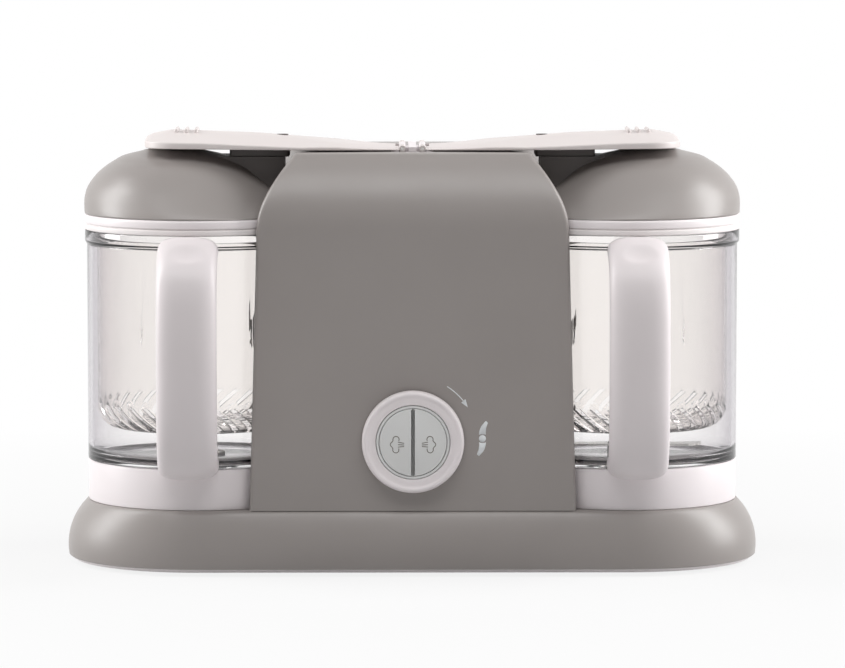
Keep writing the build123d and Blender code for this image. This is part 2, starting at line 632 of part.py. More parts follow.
def bowl_base():
    """White band round the bowl's foot, with a web inside and three bayonet lugs."""
    inner = BAND_RADIUS - BAND_WALL
    hole = DRIVER_RADIUS + 3
    base = turned(
        [(inner, DECK_Z), (BAND_RADIUS, DECK_Z), (BAND_RADIUS, BAND_TOP_Z), (inner, BAND_TOP_Z),
         (inner, WEB_Z + WEB), (hole, WEB_Z + WEB), (hole, WEB_Z), (inner, WEB_Z)], BOWL_X)
    lug_z = DECK_Z + FREE_GAP
    for turn in lug_turns():
        base += sector(DOCK_NECK_RADIUS + 1.5, inner + 0.6, turn, LUG_SPAN, lug_z, lug_z + LUG)
    return base


def jug():
    """Clear bowl: skirt inside the band, floor, wall, and a wider collar at the rim."""
    skirt = BAND_RADIUS - BAND_WALL - SEAT_GAP
    inside = JUG_RADIUS - JUG_WALL
    under = JUG_FLOOR_Z - JUG_FLOOR
    bore = BUSH_RADIUS + SEAT_GAP / 2
    return turned(
        [(bore, JUG_BOSS_Z), (JUG_BOSS_RADIUS, JUG_BOSS_Z), (JUG_BOSS_RADIUS, under),
         (skirt - JUG_WALL, under), (skirt - JUG_WALL, WEB_Z + WEB), (skirt, WEB_Z + WEB),
         (skirt, BAND_TOP_Z), (JUG_RADIUS, BAND_TOP_Z), (JUG_RADIUS, COLLAR_Z - 1.5),
         (COLLAR_RADIUS, COLLAR_Z), (COLLAR_RADIUS, RIM_Z), (COLLAR_RADIUS - COLLAR_WALL, RIM_Z),
         (COLLAR_RADIUS - COLLAR_WALL, COLLAR_Z + 0.5), (inside, COLLAR_Z + 0.5),
         (inside, JUG_FLOOR_Z + 4), (inside - 4, JUG_FLOOR_Z), (bore, JUG_FLOOR_Z)], BOWL_X)


def basket():
    """Steaming basket: hangs from the bowl's collar and has slots round its lower edge."""
    radius, corner, floor_z = BASKET_RADIUS, BASKET_CORNER, BASKET_FLOOR_Z
    inside = radius - BASKET_WALL
    lip = COLLAR_RADIUS - COLLAR_WALL - FREE_GAP
    seat = COLLAR_Z + 0.5
    pot = turned(
        [(0, floor_z), (radius - corner, floor_z), (radius - 0.3 * corner, floor_z + 0.3 * corner),
         (radius, floor_z + corner), (radius, seat), (lip, seat), (lip, seat + BASKET_FLANGE),
         (inside, seat + BASKET_FLANGE), (inside, floor_z + corner),
         (inside - 0.3 * corner, floor_z + 0.3 * corner + 1), (inside - corner, floor_z + BASKET_WALL),
         (0, floor_z + BASKET_WALL)], BOWL_X)
    slot = block(radius - 14, radius + 2, -SLOT_WIDTH / 2, SLOT_WIDTH / 2, floor_z - 1, SLOT_TOP_Z)
    slots = [Pos(BOWL_X, 0, 0) * Rot(0, 0, step * 360 / SLOT_COUNT) * slot for step in range(SLOT_COUNT)]
    ring_slot = block(14, 38, -SLOT_WIDTH / 2, SLOT_WIDTH / 2, floor_z - 1, floor_z + BASKET_WALL + 1)
    slots += [
        Pos(BOWL_X, 0, 0) * Rot(0, 0, (step + 0.5) * 720 / SLOT_COUNT) * ring_slot
        for step in range(SLOT_COUNT // 2)
    ]
    return pot - slots


def bowl_envelope():
    """Outside of band, jug and collar, with the seating gap, for the handle to fit round."""
    gap = SEAT_GAP
    return turned(
        [(0, DECK_Z), (BAND_RADIUS + gap, DECK_Z), (BAND_RADIUS + gap, BAND_TOP_Z),
         (JUG_RADIUS + gap, BAND_TOP_Z), (JUG_RADIUS + gap, COLLAR_Z - 1.5),
         (COLLAR_RADIUS + gap, COLLAR_Z), (COLLAR_RADIUS + gap, RIM_Z + 10), (0, RIM_Z + 10)], BOWL_X)


def handle_side():
    """Side view of the C-shaped handle in Y and Z: a bulging grip between two ends."""
    root_y = -BAND_RADIUS + 8
    low_root, high_root = HANDLE_BOTTOM_Z + GRIP_ROOT_LOW, HANDLE_TOP_Z - GRIP_ROOT_HIGH
    height = HANDLE_TOP_Z - HANDLE_BOTTOM_Z
    outer = [(root_y, HANDLE_TOP_Z), (-COLLAR_RADIUS - 4, HANDLE_TOP_Z)]
    outer += [(HANDLE_FRONT_Y + behind, HANDLE_BOTTOM_Z + share * height) for behind, share in GRIP_OUTER]
    inner = [(root_y, HANDLE_BOTTOM_Z), (root_y, low_root), (-JUG_RADIUS - 3, low_root)]
    inner += [(HANDLE_FRONT_Y + behind, HANDLE_BOTTOM_Z + share * height) for behind, share in GRIP_INNER]
    inner += [(-JUG_RADIUS - 5, high_root), (root_y, high_root)]
    return make_face(Plane.YZ * Polyline(*outer, *inner, close=True))


def handle():
    side = extrude(handle_side(), HANDLE_WIDTH, both=True)
    height = HANDLE_TOP_Z - HANDLE_BOTTOM_Z
    front_view = Plane.XZ * Pos(0, (HANDLE_TOP_Z + HANDLE_BOTTOM_Z) / 2) * RectangleRounded(
        HANDLE_WIDTH, height, HANDLE_WIDTH * 0.4)
    grip = side & extrude(front_view, -2 * HANDLE_FRONT_Y, both=True)
    spot = Pos(0, HANDLE_FRONT_Y + DIMPLE_BEHIND, HANDLE_TOP_Z + DIMPLE_ABOVE)
    dimple = spot * Rot(0, 90, 0) * Sphere(DIMPLE_RADIUS)
    return Pos(HANDLE_X, 0, 0) * (grip - dimple) - bowl_envelope()


# ---------------------------------------------------------------- water and steam, right side
def outlet_foot():
    return ROOF_Z - WALL - 5.2


def outlet_radius():
    return PIPE_RADIUS + 1.2


def water_tank():
    """Upright tank with a round filling mouth that ends level with the roof."""
    tank = block(TANK_X0, TANK_X1, TANK_Y0, TANK_Y1, TANK_Z0, TANK_Z1)
    tank = fillet(tank.edges().filter_by(Axis.Z), TANK_CORNER)
    room = block(TANK_X0 + TANK_WALL, TANK_X1 - TANK_WALL, TANK_Y0 + TANK_WALL, TANK_Y1 - TANK_WALL,
                 TANK_Z0 + TANK_WALL, TANK_Z1 - TANK_WALL)
    room = fillet(room.edges().filter_by(Axis.Z), TANK_CORNER - TANK_WALL)
    tank += rod(MOUTH_RADIUS + TANK_WALL, TANK_Z1 - 1, ROOF_Z, MOUTH_X, MOUTH_Y)
    return tank - room - rod(MOUTH_RADIUS, TANK_Z1 - 5, ROOF_Z + 1, MOUTH_X, MOUTH_Y)


def boiler():
    """Small aluminium boiler that stands on its heater plate."""
    foot = DECK_Z + HEATER
    body = rod(BOILER_RADIUS, foot, foot + BOILER_HEIGHT, BOILER_X, BOILER_Y)
    room = rod(BOILER_RADIUS - BOILER_WALL, foot + BOILER_WALL, foot + BOILER_HEIGHT - BOILER_WALL,
               BOILER_X, BOILER_Y)
    start_x, start_y = pipe_start()
    return body - room - rod(PIPE_BORE, foot + BOILER_HEIGHT - 4, foot + BOILER_HEIGHT + 1, start_x, start_y)


def heater_plate(side):
    return rod(BOILER_RADIUS, DECK_Z, DECK_Z + HEATER, side * BOILER_X, BOILER_Y)


def pipe_start():
    return BOILER_X + 10, BOILER_Y - 8


def steam_pipe():
    """Soft pipe from the boiler's top to the outlet in the roof."""
    x, y = pipe_start()
    z = DECK_Z + HEATER + BOILER_HEIGHT
    path = FilletPolyline((x, y, z), (x, y, z + PIPE_RISE), (STEAM_X, STEAM_Y, z + PIPE_SHIFT),
                          (STEAM_X, STEAM_Y, outlet_foot()), radius=PIPE_BEND)
    start = Plane(origin=path @ 0, z_dir=path % 0)
    return sweep(start * (Circle(PIPE_RADIUS) - Circle(PIPE_BORE)), path)


def steam_outlet():
    """Collar in the roof that the steam pipe ends in, sealed by the arm above it."""
    low = outlet_foot()
    outlet = rod(outlet_radius(), low, ROOF_Z + 0.2, STEAM_X, STEAM_Y)
    outlet += rod(outlet_radius() + 1.2, low, ROOF_Z - WALL, STEAM_X, STEAM_Y)
    return outlet - rod(PIPE_BORE, low - 1, ROOF_Z + 1, STEAM_X, STEAM_Y)


# ---------------------------------------------------------------- motor and drive
def motor_can():
    can = rod(MOTOR_RADIUS, MOTOR_Z0, MOTOR_Z1, 0, MOTOR_Y)
    can -= rod(MOTOR_RADIUS - MOTOR_SKIN, MOTOR_Z0 + MOTOR_SKIN, MOTOR_Z1 - MOTOR_SKIN, 0, MOTOR_Y)
    return can - rod(MOTOR_SHAFT_RADIUS + RUN_GAP, MOTOR_Z0 - 1, MOTOR_Z1 + 1, 0, MOTOR_Y)


def motor_bracket():
    """Plate on four legs that carries the motor above the deck."""
    half = MOTOR_RADIUS - 1
    plate = block(-half, half, MOTOR_Y - half, MOTOR_Y + half, MOTOR_Z0 - BRACKET, MOTOR_Z0)
    plate -= rod(MOTOR_SHAFT_RADIUS + 4, MOTOR_Z0 - 4, MOTOR_Z0 + 1, 0, MOTOR_Y)
    reach = half - LEG_INSET
    for x in (-reach, reach):
        for y in (MOTOR_Y - reach, MOTOR_Y + reach):
            plate += rod(LEG_RADIUS, DECK_Z, MOTOR_Z0 - BRACKET + 1, x, y)
    return plate


def motor_rotor():
    shaft = rod(MOTOR_SHAFT_RADIUS, PULLEY_Z - 1, MOTOR_Z1 + 2, 0, MOTOR_Y)
    return shaft + rod(ROTOR_RADIUS, MOTOR_Z0 + ROTOR_END, MOTOR_Z1 - ROTOR_END, 0, MOTOR_Y)


def pulley(radius, bore, x, y):
    """Flat belt pulley with a lip at each side."""
    top = PULLEY_Z + PULLEY_HEIGHT
    wheel = rod(radius, PULLEY_Z, top, x, y)
    wheel += rod(radius + 2, PULLEY_Z, PULLEY_Z + PULLEY_LIP, x, y)
    wheel += rod(radius + 2, top - PULLEY_LIP, top, x, y)
    return wheel - rod(bore + SEAT_GAP / 5, PULLEY_Z - 1, top + 1, x, y)


def belt_outline(grow):
    """Outline round both pulleys: two arcs joined by the lines that touch both circles."""
    small, large = MOTOR_PULLEY_RADIUS + grow, DRIVE_PULLEY_RADIUS + grow
    span_x, span_y = BOWL_X, -MOTOR_Y
    span = hypot(span_x, span_y)
    along = (span_x / span, span_y / span)
    lean = acos((large - small) / span)

    def spot(centre, radius, angle):
        ahead, aside = cos(angle), sin(angle)
        return (centre[0] + radius * (along[0] * ahead - along[1] * aside),
                centre[1] + radius * (along[1] * ahead + along[0] * aside))

    motor, driven = (0.0, MOTOR_Y), (BOWL_X, 0.0)
    up = pi - lean
    edges = [
        ThreePointArc(spot(motor, small, up), spot(motor, small, pi), spot(motor, small, -up)),
        Line(spot(motor, small, -up), spot(driven, large, -up)),
        ThreePointArc(spot(driven, large, -up), spot(driven, large, 0), spot(driven, large, up)),
        Line(spot(driven, large, up), spot(motor, small, up)),
    ]
    return make_face(edges)


def drive_belt():
    low = PULLEY_Z + PULLEY_LIP + FREE_GAP
    width = PULLEY_HEIGHT - 2 * (PULLEY_LIP + FREE_GAP)
    loop = belt_outline(FREE_GAP + BELT_THICK) - belt_outline(FREE_GAP)
    return extrude(Pos(0, 0, low) * loop, width)


def bearing_levels():
    """Lower faces of the two bearings, under the deck and in the dock."""
    top = DECK_Z + DOCK_HEIGHT - BEARING_WIDTH
    return (top - BEARING_WIDTH - BEARING_SPACE, top)


def shaft_bearings():
    rings = []
    for z in bearing_levels():
        ring = rod(BEARING_RADIUS, z, z + BEARING_WIDTH, BOWL_X)
        rings.append(ring - rod(SHAFT_RADIUS + RUN_GAP, z - 1, z + BEARING_WIDTH + 1, BOWL_X))
    return group(rings)


def dog_z():
    return DECK_Z + DOCK_HEIGHT + 0.6


def hexagon(radius, z0, z1):
    return extrude(Pos(BOWL_X, 0, z0) * RegularPolygon(radius, 6), z1 - z0)


def drive_shaft():
    return rod(SHAFT_RADIUS, PULLEY_Z - 1, dog_z() + 4, BOWL_X)


def drive_coupling():
    """Six-sided dog on a round foot, on top of the drive shaft."""
    z = dog_z()
    dog = rod(DRIVER_RADIUS, z, z + 1.5, BOWL_X) + hexagon(DOG_RADIUS, z + 1, z + 7)
    return dog - rod(SHAFT_RADIUS + SEAT_GAP / 5, z - 1, z + 4.1, BOWL_X)


def blade_driver():
    """Socket under the bowl that takes the dog, moulded on the blade's spindle."""
    z = dog_z() + 1.5 + FREE_GAP
    top = JUG_BOSS_Z - 0.6
    driver = rod(DRIVER_RADIUS, z, top, BOWL_X) - hexagon(DOG_RADIUS + FREE_GAP, z - 1, dog_z() + 7 + FREE_GAP)
    return driver + rod(SPINDLE_RADIUS, top - 0.5, BLADE_Z - FREE_GAP / 3, BOWL_X)


def blade_bush():
    bush = rod(BUSH_RADIUS, JUG_BOSS_Z, BUSH_TOP_Z, BOWL_X)
    return bush - rod(SPINDLE_RADIUS + RUN_GAP, JUG_BOSS_Z - 1, BUSH_TOP_Z + 1, BOWL_X)


def blade_hub():
    """Black cap over the bush, below and above the blade."""
    lower = rod(HUB_RADIUS, JUG_FLOOR_Z + 0.4, BLADE_Z, BOWL_X)
    lower -= rod(BUSH_RADIUS + 0.4, JUG_FLOOR_Z, BUSH_TOP_Z + 0.4, BOWL_X)
    lower -= rod(SPINDLE_RADIUS + SEAT_GAP / 5, BUSH_TOP_Z, BLADE_Z + 1, BOWL_X)
    cap = turned(
        [(0, BLADE_Z + BLADE), (HUB_RADIUS, BLADE_Z + BLADE), (HUB_RADIUS - 1.5, HUB_TOP_Z), (0, HUB_TOP_Z)],
        BOWL_X)
    return group([lower, cap])


def blade():
    """Steel blade: a ring on the spindle with two swept wings."""
    half = HUB_RADIUS * 0.7
    wing = make_face([
        Line((0, -half), (BLADE_REACH - 8, -half + 1)),
        ThreePointArc((BLADE_REACH - 8, -half + 1), (BLADE_REACH - 1.5, 1), (BLADE_REACH, 9)),
        ThreePointArc((BLADE_REACH, 9), (BLADE_REACH * 0.55, half - 1), (0, half)),
        Line((0, half), (0, -half)),
    ])
    outline = Circle(HUB_RADIUS) + wing + Rot(0, 0, 180) * wing - Circle(SPINDLE_RADIUS + SEAT_GAP / 5)
    return extrude(Pos(BOWL_X, 0, BLADE_Z) * outline, BLADE)


def floor_plug():
    """Dished plug that closes the spindle hole of the bowl that only steams."""
    bore = BUSH_RADIUS
    top = JUG_FLOOR_Z + 2.5
    return turned(
        [(0, JUG_BOSS_Z), (bore, JUG_BOSS_Z), (bore, JUG_FLOOR_Z), (2 * bore, JUG_FLOOR_Z),
         (2 * bore, top - 0.5), (2 * bore - 0.5, top), (2 * bore - 3, top), (bore, top - 1.2), (0, top - 1.2)],
        BOWL_X)


# ---------------------------------------------------------------- controls
def knob_ring():
    """White turning ring with a raised bevelled rim, a hub through the panel and a cam tab behind it."""
    profile = [
        (KNOB_BORE, KNOB_FRONT_Y + 1.6), (KNOB_BORE + 2, KNOB_FRONT_Y + 1.0), (KNOB_RADIUS - 3.6, KNOB_FRONT_Y + 0.8),
        (KNOB_RADIUS - 2.4, KNOB_FRONT_Y), (KNOB_RADIUS - 1.2, KNOB_FRONT_Y), (KNOB_RADIUS, KNOB_FRONT_Y + 1.6),
        (KNOB_RADIUS, KNOB_BACK_Y), (KNOB_HUB_RADIUS, KNOB_BACK_Y), (KNOB_HUB_RADIUS, hub_end_y()),
        (KNOB_BORE, hub_end_y()),
    ]
    ring = Pos(0, 0, KNOB_Z) * revolve(make_face(Polyline(*profile, close=True)), Axis.Y)
    tab_y = hub_end_y() - TAB_BACK
    ring += block(-TAB_HALF, TAB_HALF, tab_y - TAB, tab_y, KNOB_Z - TAB_REACH, KNOB_Z - KNOB_HUB_RADIUS + 0.8)
    return ring


def hub_end_y():
    return CARRIER_Y - CARRIER - 3.0


def button(side):
    """Half-round button with a hollow back."""
    def half_disc(radius, seam):
        half = Circle(radius) & Pos(side * (seam / 2 + radius), 0) * Rectangle(2 * radius, 2 * radius)
        return Plane.XZ * half

    body = extrude(half_disc(BUTTON_RADIUS, SEAM), -BUTTON_DEPTH)
    room = extrude(half_disc(BUTTON_RADIUS - 2, SEAM + 4), -BUTTON_DEPTH)
    return Pos(0, BUTTON_FRONT_Y, KNOB_Z) * (body - Pos(0, 3, 0) * room)


def button_stop_y():
    """Where a button's rear edge is when it is pressed home."""
    return BUTTON_FRONT_Y + BUTTON_DEPTH + BUTTON_TRAVEL


def control_post(angle):
    x, z = POST_REACH * cos(radians(angle)), KNOB_Z + POST_REACH * sin(radians(angle))
    return rod_y(POST_RADIUS, front_y(z - POST_RADIUS) + WALL + 2 * SEAT_GAP, CARRIER_Y - CARRIER + 0.5, x, z)


def button_carrier():
    """Fixed tube that guides both buttons, on a flange that four posts hold behind the panel."""
    tube = BUTTON_RADIUS + FREE_GAP
    front = CARRIER_Y - CARRIER
    carrier = rod_y(KNOB_BORE - FREE_GAP, BUTTON_FRONT_Y + 0.6, front + 0.5, 0, KNOB_Z)
    carrier += rod_y(CARRIER_RADIUS, front, CARRIER_Y, 0, KNOB_Z)
    carrier -= rod_y(tube, BUTTON_FRONT_Y, CARRIER_Y + 1, 0, KNOB_Z)
    for angle in POST_ANGLES:
        carrier += control_post(angle)
    return carrier


def button_pad():
    """Soft pad with a dome behind each button."""
    pad = rod_y(KNOB_RADIUS, CARRIER_Y, CARRIER_Y + BOARD, 0, KNOB_Z)
    for side in (-1, 1):
        pad += rod_y(PAD_DOME_RADIUS, button_stop_y() + 0.2, CARRIER_Y + 0.5, side * PAD_DOME_X, KNOB_Z)
    return pad


def control_board():
    y = CARRIER_Y + BOARD
    return block(-CARRIER_RADIUS, CARRIER_RADIUS, y, y + BOARD, KNOB_Z - BOARD_HALF, KNOB_Z + BOARD_HALF)


def knob_switch():
    """Switch that the ring's tab closes at the end of its turn."""
    front = CARRIER_Y - CARRIER
    low = KNOB_Z - SWITCH_DROP
    return block(SWITCH_X0, SWITCH_X1, hub_end_y() - TAB_BACK - TAB, front, low, low + SWITCH_HEIGHT)


def knob_spring():
    """Coil round the hub that turns the ring back."""
    coil = Helix(pitch=COIL_PITCH, height=2 * COIL_PITCH, radius=KNOB_HUB_RADIUS + 2.3)
    wire = sweep(Plane(origin=coil @ 0, z_dir=coil % 0) * Circle(COIL_WIRE), coil, is_frenet=True)
    return Pos(0, CARRIER_Y - CARRIER - COIL_WIRE - 0.2, KNOB_Z) * Rot(90, 0, 0) * wire


def main():
    os.makedirs("parts", exist_ok=True)
    single = {
        "base_shell": base_shell(),
        "base_tray": base_tray(),
        "rubber_feet": rubber_feet(),
        "base_screws": base_screws(),
        "cord_gland": cord_gland(),
        "column_front_cover": column_front_cover(),
        "column_rear_cover": column_rear_cover(),
        "hinge_block": hinge_block(),
        "hinge_pins": hinge_pins(),
        "motor_can": motor_can(),
        "motor_bracket": motor_bracket(),
        "motor_rotor": motor_rotor(),
        "motor_pulley": pulley(MOTOR_PULLEY_RADIUS, MOTOR_SHAFT_RADIUS, 0, MOTOR_Y),
        "drive_belt": drive_belt(),
        "drive_pulley": pulley(DRIVE_PULLEY_RADIUS, SHAFT_RADIUS, BOWL_X, 0),
        "drive_shaft": drive_shaft(),
        "drive_coupling": drive_coupling(),
        "shaft_bearings": shaft_bearings(),
        "blade_driver": blade_driver(),
        "blade_bush": blade_bush(),
        "blade_hub": blade_hub(),
        "blade": blade(),
        "floor_plug": mirror(floor_plug(), about=Plane.YZ),
        "heater_plates": group(heater_plate(side) for side in (-1, 1)),
        "knob_ring": knob_ring(),
        "knob_switch": knob_switch(),
        "knob_spring": knob_spring(),
        "button_left": button(-1),
        "button_right": button(1),
        "button_carrier": button_carrier(),
        "button_pad": button_pad(),
        "control_board": control_board(),
    }
    for node, shape in single.items():
        save(shape, node)
    pairs = {
        "dock": dock(),
        "bowl_base": bowl_base(),
        "jug": jug(),
        "basket": basket(),
        "handle": handle(),
        "dome": dome(),
        "lid_ring": lid_ring(),
        "lid_seal": lid_seal(),
        "lid_arm": lid_arm(),
        "steam_duct": steam_duct(),
        "tank_plug": tank_plug(),
        "water_tank": water_tank(),
    }
    for name, shape in pairs.items():
        save_pair(shape, name)
    twins = {"boilers": boiler(), "steam_pipes": steam_pipe(), "steam_outlets": steam_outlet()}
    for node, shape in twins.items():
        save(group([shape, mirror(shape, about=Plane.YZ)]), node)


main()
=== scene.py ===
# %% [markdown]
# A twin-bowl baby food maker, dressed for its portrait. The solids come ready-made and fixed: every
# piece below is fitted round them, rides on one of their moving bodies, and gets a finish made of nodes.
# %% Load the fixed solids
import bmesh
import bpy
import numpy as np
from math import cos, pi, radians, sin, sqrt
from mathutils import Matrix, Vector


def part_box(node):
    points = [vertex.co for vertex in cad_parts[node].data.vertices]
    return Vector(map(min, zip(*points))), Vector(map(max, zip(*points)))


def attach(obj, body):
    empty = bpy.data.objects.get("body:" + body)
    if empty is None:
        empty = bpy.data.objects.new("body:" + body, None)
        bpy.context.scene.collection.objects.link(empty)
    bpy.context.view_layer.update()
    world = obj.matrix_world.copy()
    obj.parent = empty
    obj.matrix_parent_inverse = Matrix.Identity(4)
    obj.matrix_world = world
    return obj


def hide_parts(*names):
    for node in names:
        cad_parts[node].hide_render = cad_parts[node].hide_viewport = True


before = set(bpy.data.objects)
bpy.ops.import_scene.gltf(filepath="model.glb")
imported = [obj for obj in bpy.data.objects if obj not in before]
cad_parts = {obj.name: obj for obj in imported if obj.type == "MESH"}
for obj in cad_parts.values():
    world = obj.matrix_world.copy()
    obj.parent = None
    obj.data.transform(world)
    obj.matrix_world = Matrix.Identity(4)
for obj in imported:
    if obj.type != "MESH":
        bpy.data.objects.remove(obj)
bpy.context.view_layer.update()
mm = 0.001

# %% [markdown]
# Every place is read from the solids. One helper gives a solid's box as two corners, and a few lengths
# are named from it: where the bowls stand, how wide they are, and how high deck and roof lie.
# %% Read the places
def extent(node):
    """Lowest and highest corner of a solid, as arrays in metres."""
    low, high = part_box(node)
    return np.array(low), np.array(high)


jug_low, jug_high = extent("jug_right")
band_low, band_high = extent("bowl_base_right")
front_low, front_high = extent("column_front_cover")
bowl_x = (band_low[0] + band_high[0]) / 2
deck_z, roof_z = front_low[2], front_high[2]
split_y = front_high[1]
band_radius, band_top = (band_high[0] - band_low[0]) / 2, band_high[2]
collar_radius, rim_z = (jug_high[0] - jug_low[0]) / 2, jug_high[2]
jug_radius = collar_radius - 1.2 * mm
wall = 2.8 * mm
print("bowl axis", round(bowl_x / mm, 1), "deck", round(deck_z / mm, 1), "roof", round(roof_z / mm, 1))

# %% [markdown]
# A moulded part is a surface that closes on itself. Here it is a stack of rings with the same number of
# points: quads join each ring to the next, and the two ends are either joined to each other, as on a
# hoop, or closed with one flat face each. Blender then finds which way is out and marks the sharp edges.
# %% Turn rings into a mesh
def make_piece(name, points, faces, sharp=32.0):
    """Mesh object from an array of points and lists of faces, smooth except where faces meet above sharp degrees."""
    mesh = bpy.data.meshes.new(name)
    mesh.from_pydata(np.asarray(points, float).reshape(-1, 3).tolist(), [], faces)
    piece = bpy.data.objects.new(name, mesh)
    bpy.context.scene.collection.objects.link(piece)
    tidy_normals(mesh, sharp)
    return piece


def tidy_normals(mesh, sharp=32.0):
    """Faces point outwards, and edges above sharp degrees stay crisp."""
    shape = bmesh.new()
    shape.from_mesh(mesh)
    bmesh.ops.remove_doubles(shape, verts=shape.verts, dist=1e-7)
    bmesh.ops.recalc_face_normals(shape, faces=shape.faces)
    shape.to_mesh(mesh)
    shape.free()
    mesh.polygons.foreach_set("use_smooth", np.ones(len(mesh.polygons), bool))
    mesh.set_sharp_from_angle(angle=radians(sharp))


def ring_quads(rows, columns, hoop=False):
    """Quads between neighbouring rings: point (i, j) of the stack is number i * columns + j."""
    i = np.arange(rows if hoop else rows - 1)[:, None]
    j = np.arange(columns)[None, :]
    above, beside = (i + 1) % rows, (j + 1) % columns
    return np.stack(np.broadcast_arrays(
        i * columns + j, i * columns + beside, above * columns + beside, above * columns + j), -1)


def from_rings(name, rings, hoop=False, sharp=32.0):
    """Closed surface through a stack of rings, an array of ring x point x 3."""
    rows, columns = rings.shape[:2]
    faces = ring_quads(rows, columns, hoop).reshape(-1, 4).tolist()
    if not hoop:
        faces += [list(range(columns)), list(range((rows - 1) * columns, rows * columns))]
    return make_piece(name, rings, faces, sharp)


def join(pieces):
    """Several meshes as one object: the first takes in the rest."""
    with bpy.context.temp_override(active_object=pieces[0], object=pieces[0],
                                   selected_objects=pieces, selected_editable_objects=pieces):
        bpy.ops.object.join()
    return pieces[0]


# %% [markdown]
# Real edges are never perfectly sharp. Each outline is drawn with corners, and every corner is then
# swapped for a short curve: a point slides from just before the corner to just after it, pulled
# towards the corner on the way. The curve's size is how far from the corner it starts.
# %% Round an outline's corners
def soften(corners, size, steps=4):
    """Closed outline with rounded corners: (1-t)^2 start + 2t(1-t) corner + t^2 end at each one."""
    sizes = np.array([corner[2] if len(corner) > 2 else size for corner in corners])[:, None]
    points = np.array([corner[:2] for corner in corners], float)
    back, ahead = np.roll(points, 1, 0) - points, np.roll(points, -1, 0) - points
    long_back = np.linalg.norm(back, axis=1, keepdims=True)
    long_ahead = np.linalg.norm(ahead, axis=1, keepdims=True)
    cut = np.minimum(sizes, 0.48 * np.minimum(long_back, long_ahead))
    start, end = points + back / long_back * cut, points + ahead / long_ahead * cut
    t = np.linspace(0, 1, steps + 1)[None, :, None]
    curve = (1 - t) ** 2 * start[:, None] + 2 * t * (1 - t) * points[:, None] + t ** 2 * end[:, None]
    return curve.reshape(-1, 2)


def circle(turn):
    """Points (cos a, sin a) of the unit circle."""
    return np.stack([np.cos(turn), np.sin(turn)], -1)


def through(knots, samples):
    """Smooth curve through knots, evenly shared out: each span is a cubic whose slope at a knot is
    half the step between that knot's neighbours."""
    knots = np.asarray(knots, float)
    padded = np.vstack([2 * knots[0] - knots[1], knots, 2 * knots[-1] - knots[-2]])
    t = np.linspace(0, len(knots) - 1, samples)
    span = np.minimum(t.astype(int), len(knots) - 2)
    t = (t - span)[:, None]
    before, start, end, after = (padded[span + k] for k in range(4))
    return 0.5 * (2 * start + (end - before) * t + (2 * before - 5 * start + 4 * end - after) * t ** 2
                  + (3 * start - before - 3 * end + after) * t ** 3)


# %% [markdown]
# Half of this machine is round, so most of it is turned: an outline of radius and height carried round
# an upright line, as on a lathe. A turning control does the same round a level line.
# %% Turn an outline on a lathe
def carried_round(outline, count):
    """Each outline point (radius, other) as a row of r cos a, r sin a and the other measure."""
    outline = np.asarray(outline)
    angle = np.linspace(0, 2 * pi, count, endpoint=False)[None, :]
    radius, other = outline[:, 0:1], outline[:, 1:2]
    return radius * np.cos(angle), radius * np.sin(angle), other + 0 * angle


def lathe(name, outline, x, y=0.0, count=160, hoop=True, sharp=32.0):
    """Each outline point (radius, height) becomes the ring (x + r cos a, y + r sin a, height)."""
    across, deep, height = carried_round(outline, count)
    return from_rings(name, np.stack([x + across, y + deep, height], -1), hoop, sharp)


def lathe_level(name, outline, z, count=128, hoop=True, sharp=32.0):
    """Each outline point (radius, depth) becomes the ring (r cos a, depth, z + r sin a)."""
    across, rise, depth = carried_round(outline, count)
    return from_rings(name, np.stack([across, depth, z + rise], -1), hoop, sharp)


def inset(outline, amount):
    """Closed outline moved inwards along its normals, which are its tangents turned a quarter turn."""
    tangent = np.roll(outline, -1, 0) - np.roll(outline, 1, 0)
    tangent /= np.maximum(np.linalg.norm(tangent, axis=1, keepdims=True), 1e-12)
    area = np.sum(outline[:, 0] * np.roll(outline[:, 1], -1) - np.roll(outline[:, 0], -1) * outline[:, 1])
    normal = np.stack([-tangent[:, 1], tangent[:, 0]], -1) * np.sign(area)
    return outline + normal * amount


def slab(name, outline, stack, place, sharp=32.0):
    """Plate with eased edges: the outline repeated at each (height, inset) of the stack, put in place
    by a function from (u, v, height) to (x, y, z)."""
    rings = []
    for height, amount in stack:
        u, v = inset(outline, amount).T
        rings.append(np.stack(np.broadcast_arrays(*place(u, v, height)), -1))
    return from_rings(name, np.array(rings), sharp=sharp)


def combine(piece, tool, operation):
    """Adds the tool to the piece or takes it out, then throws the tool away."""
    step = piece.modifiers.new("step", "BOOLEAN")
    step.object, step.operation, step.solver = tool, operation, "EXACT"
    with bpy.context.temp_override(active_object=piece, object=piece, selected_objects=[piece]):
        bpy.ops.object.modifier_apply(modifier=step.name)
    bpy.data.objects.remove(tool)


def cut_away(piece, cutters, sharp=32.0):
    """Takes the cutters out of the piece, one after another."""
    for cutter in cutters:
        combine(piece, cutter, "DIFFERENCE")
    piece.data.polygons.foreach_set("use_smooth", np.ones(len(piece.data.polygons), bool))
    piece.data.set_sharp_from_angle(angle=radians(sharp))
    return piece


def upright_pin(radius, low, high, x, y=0.0, count=64):
    """Upright cylinder to cut with."""
    return lathe("cutter", [(radius, low), (radius, high)], x, y, count, hoop=False)


def level_pin(radius, front, back, x, z, count):
    """Cylinder along y, from front to back, to cut or join with."""
    pin = lathe_level("cutter", [(radius, front), (radius, back)], z, count, False)
    pin.data.transform(Matrix.Translation((x, 0, 0)))
    return pin


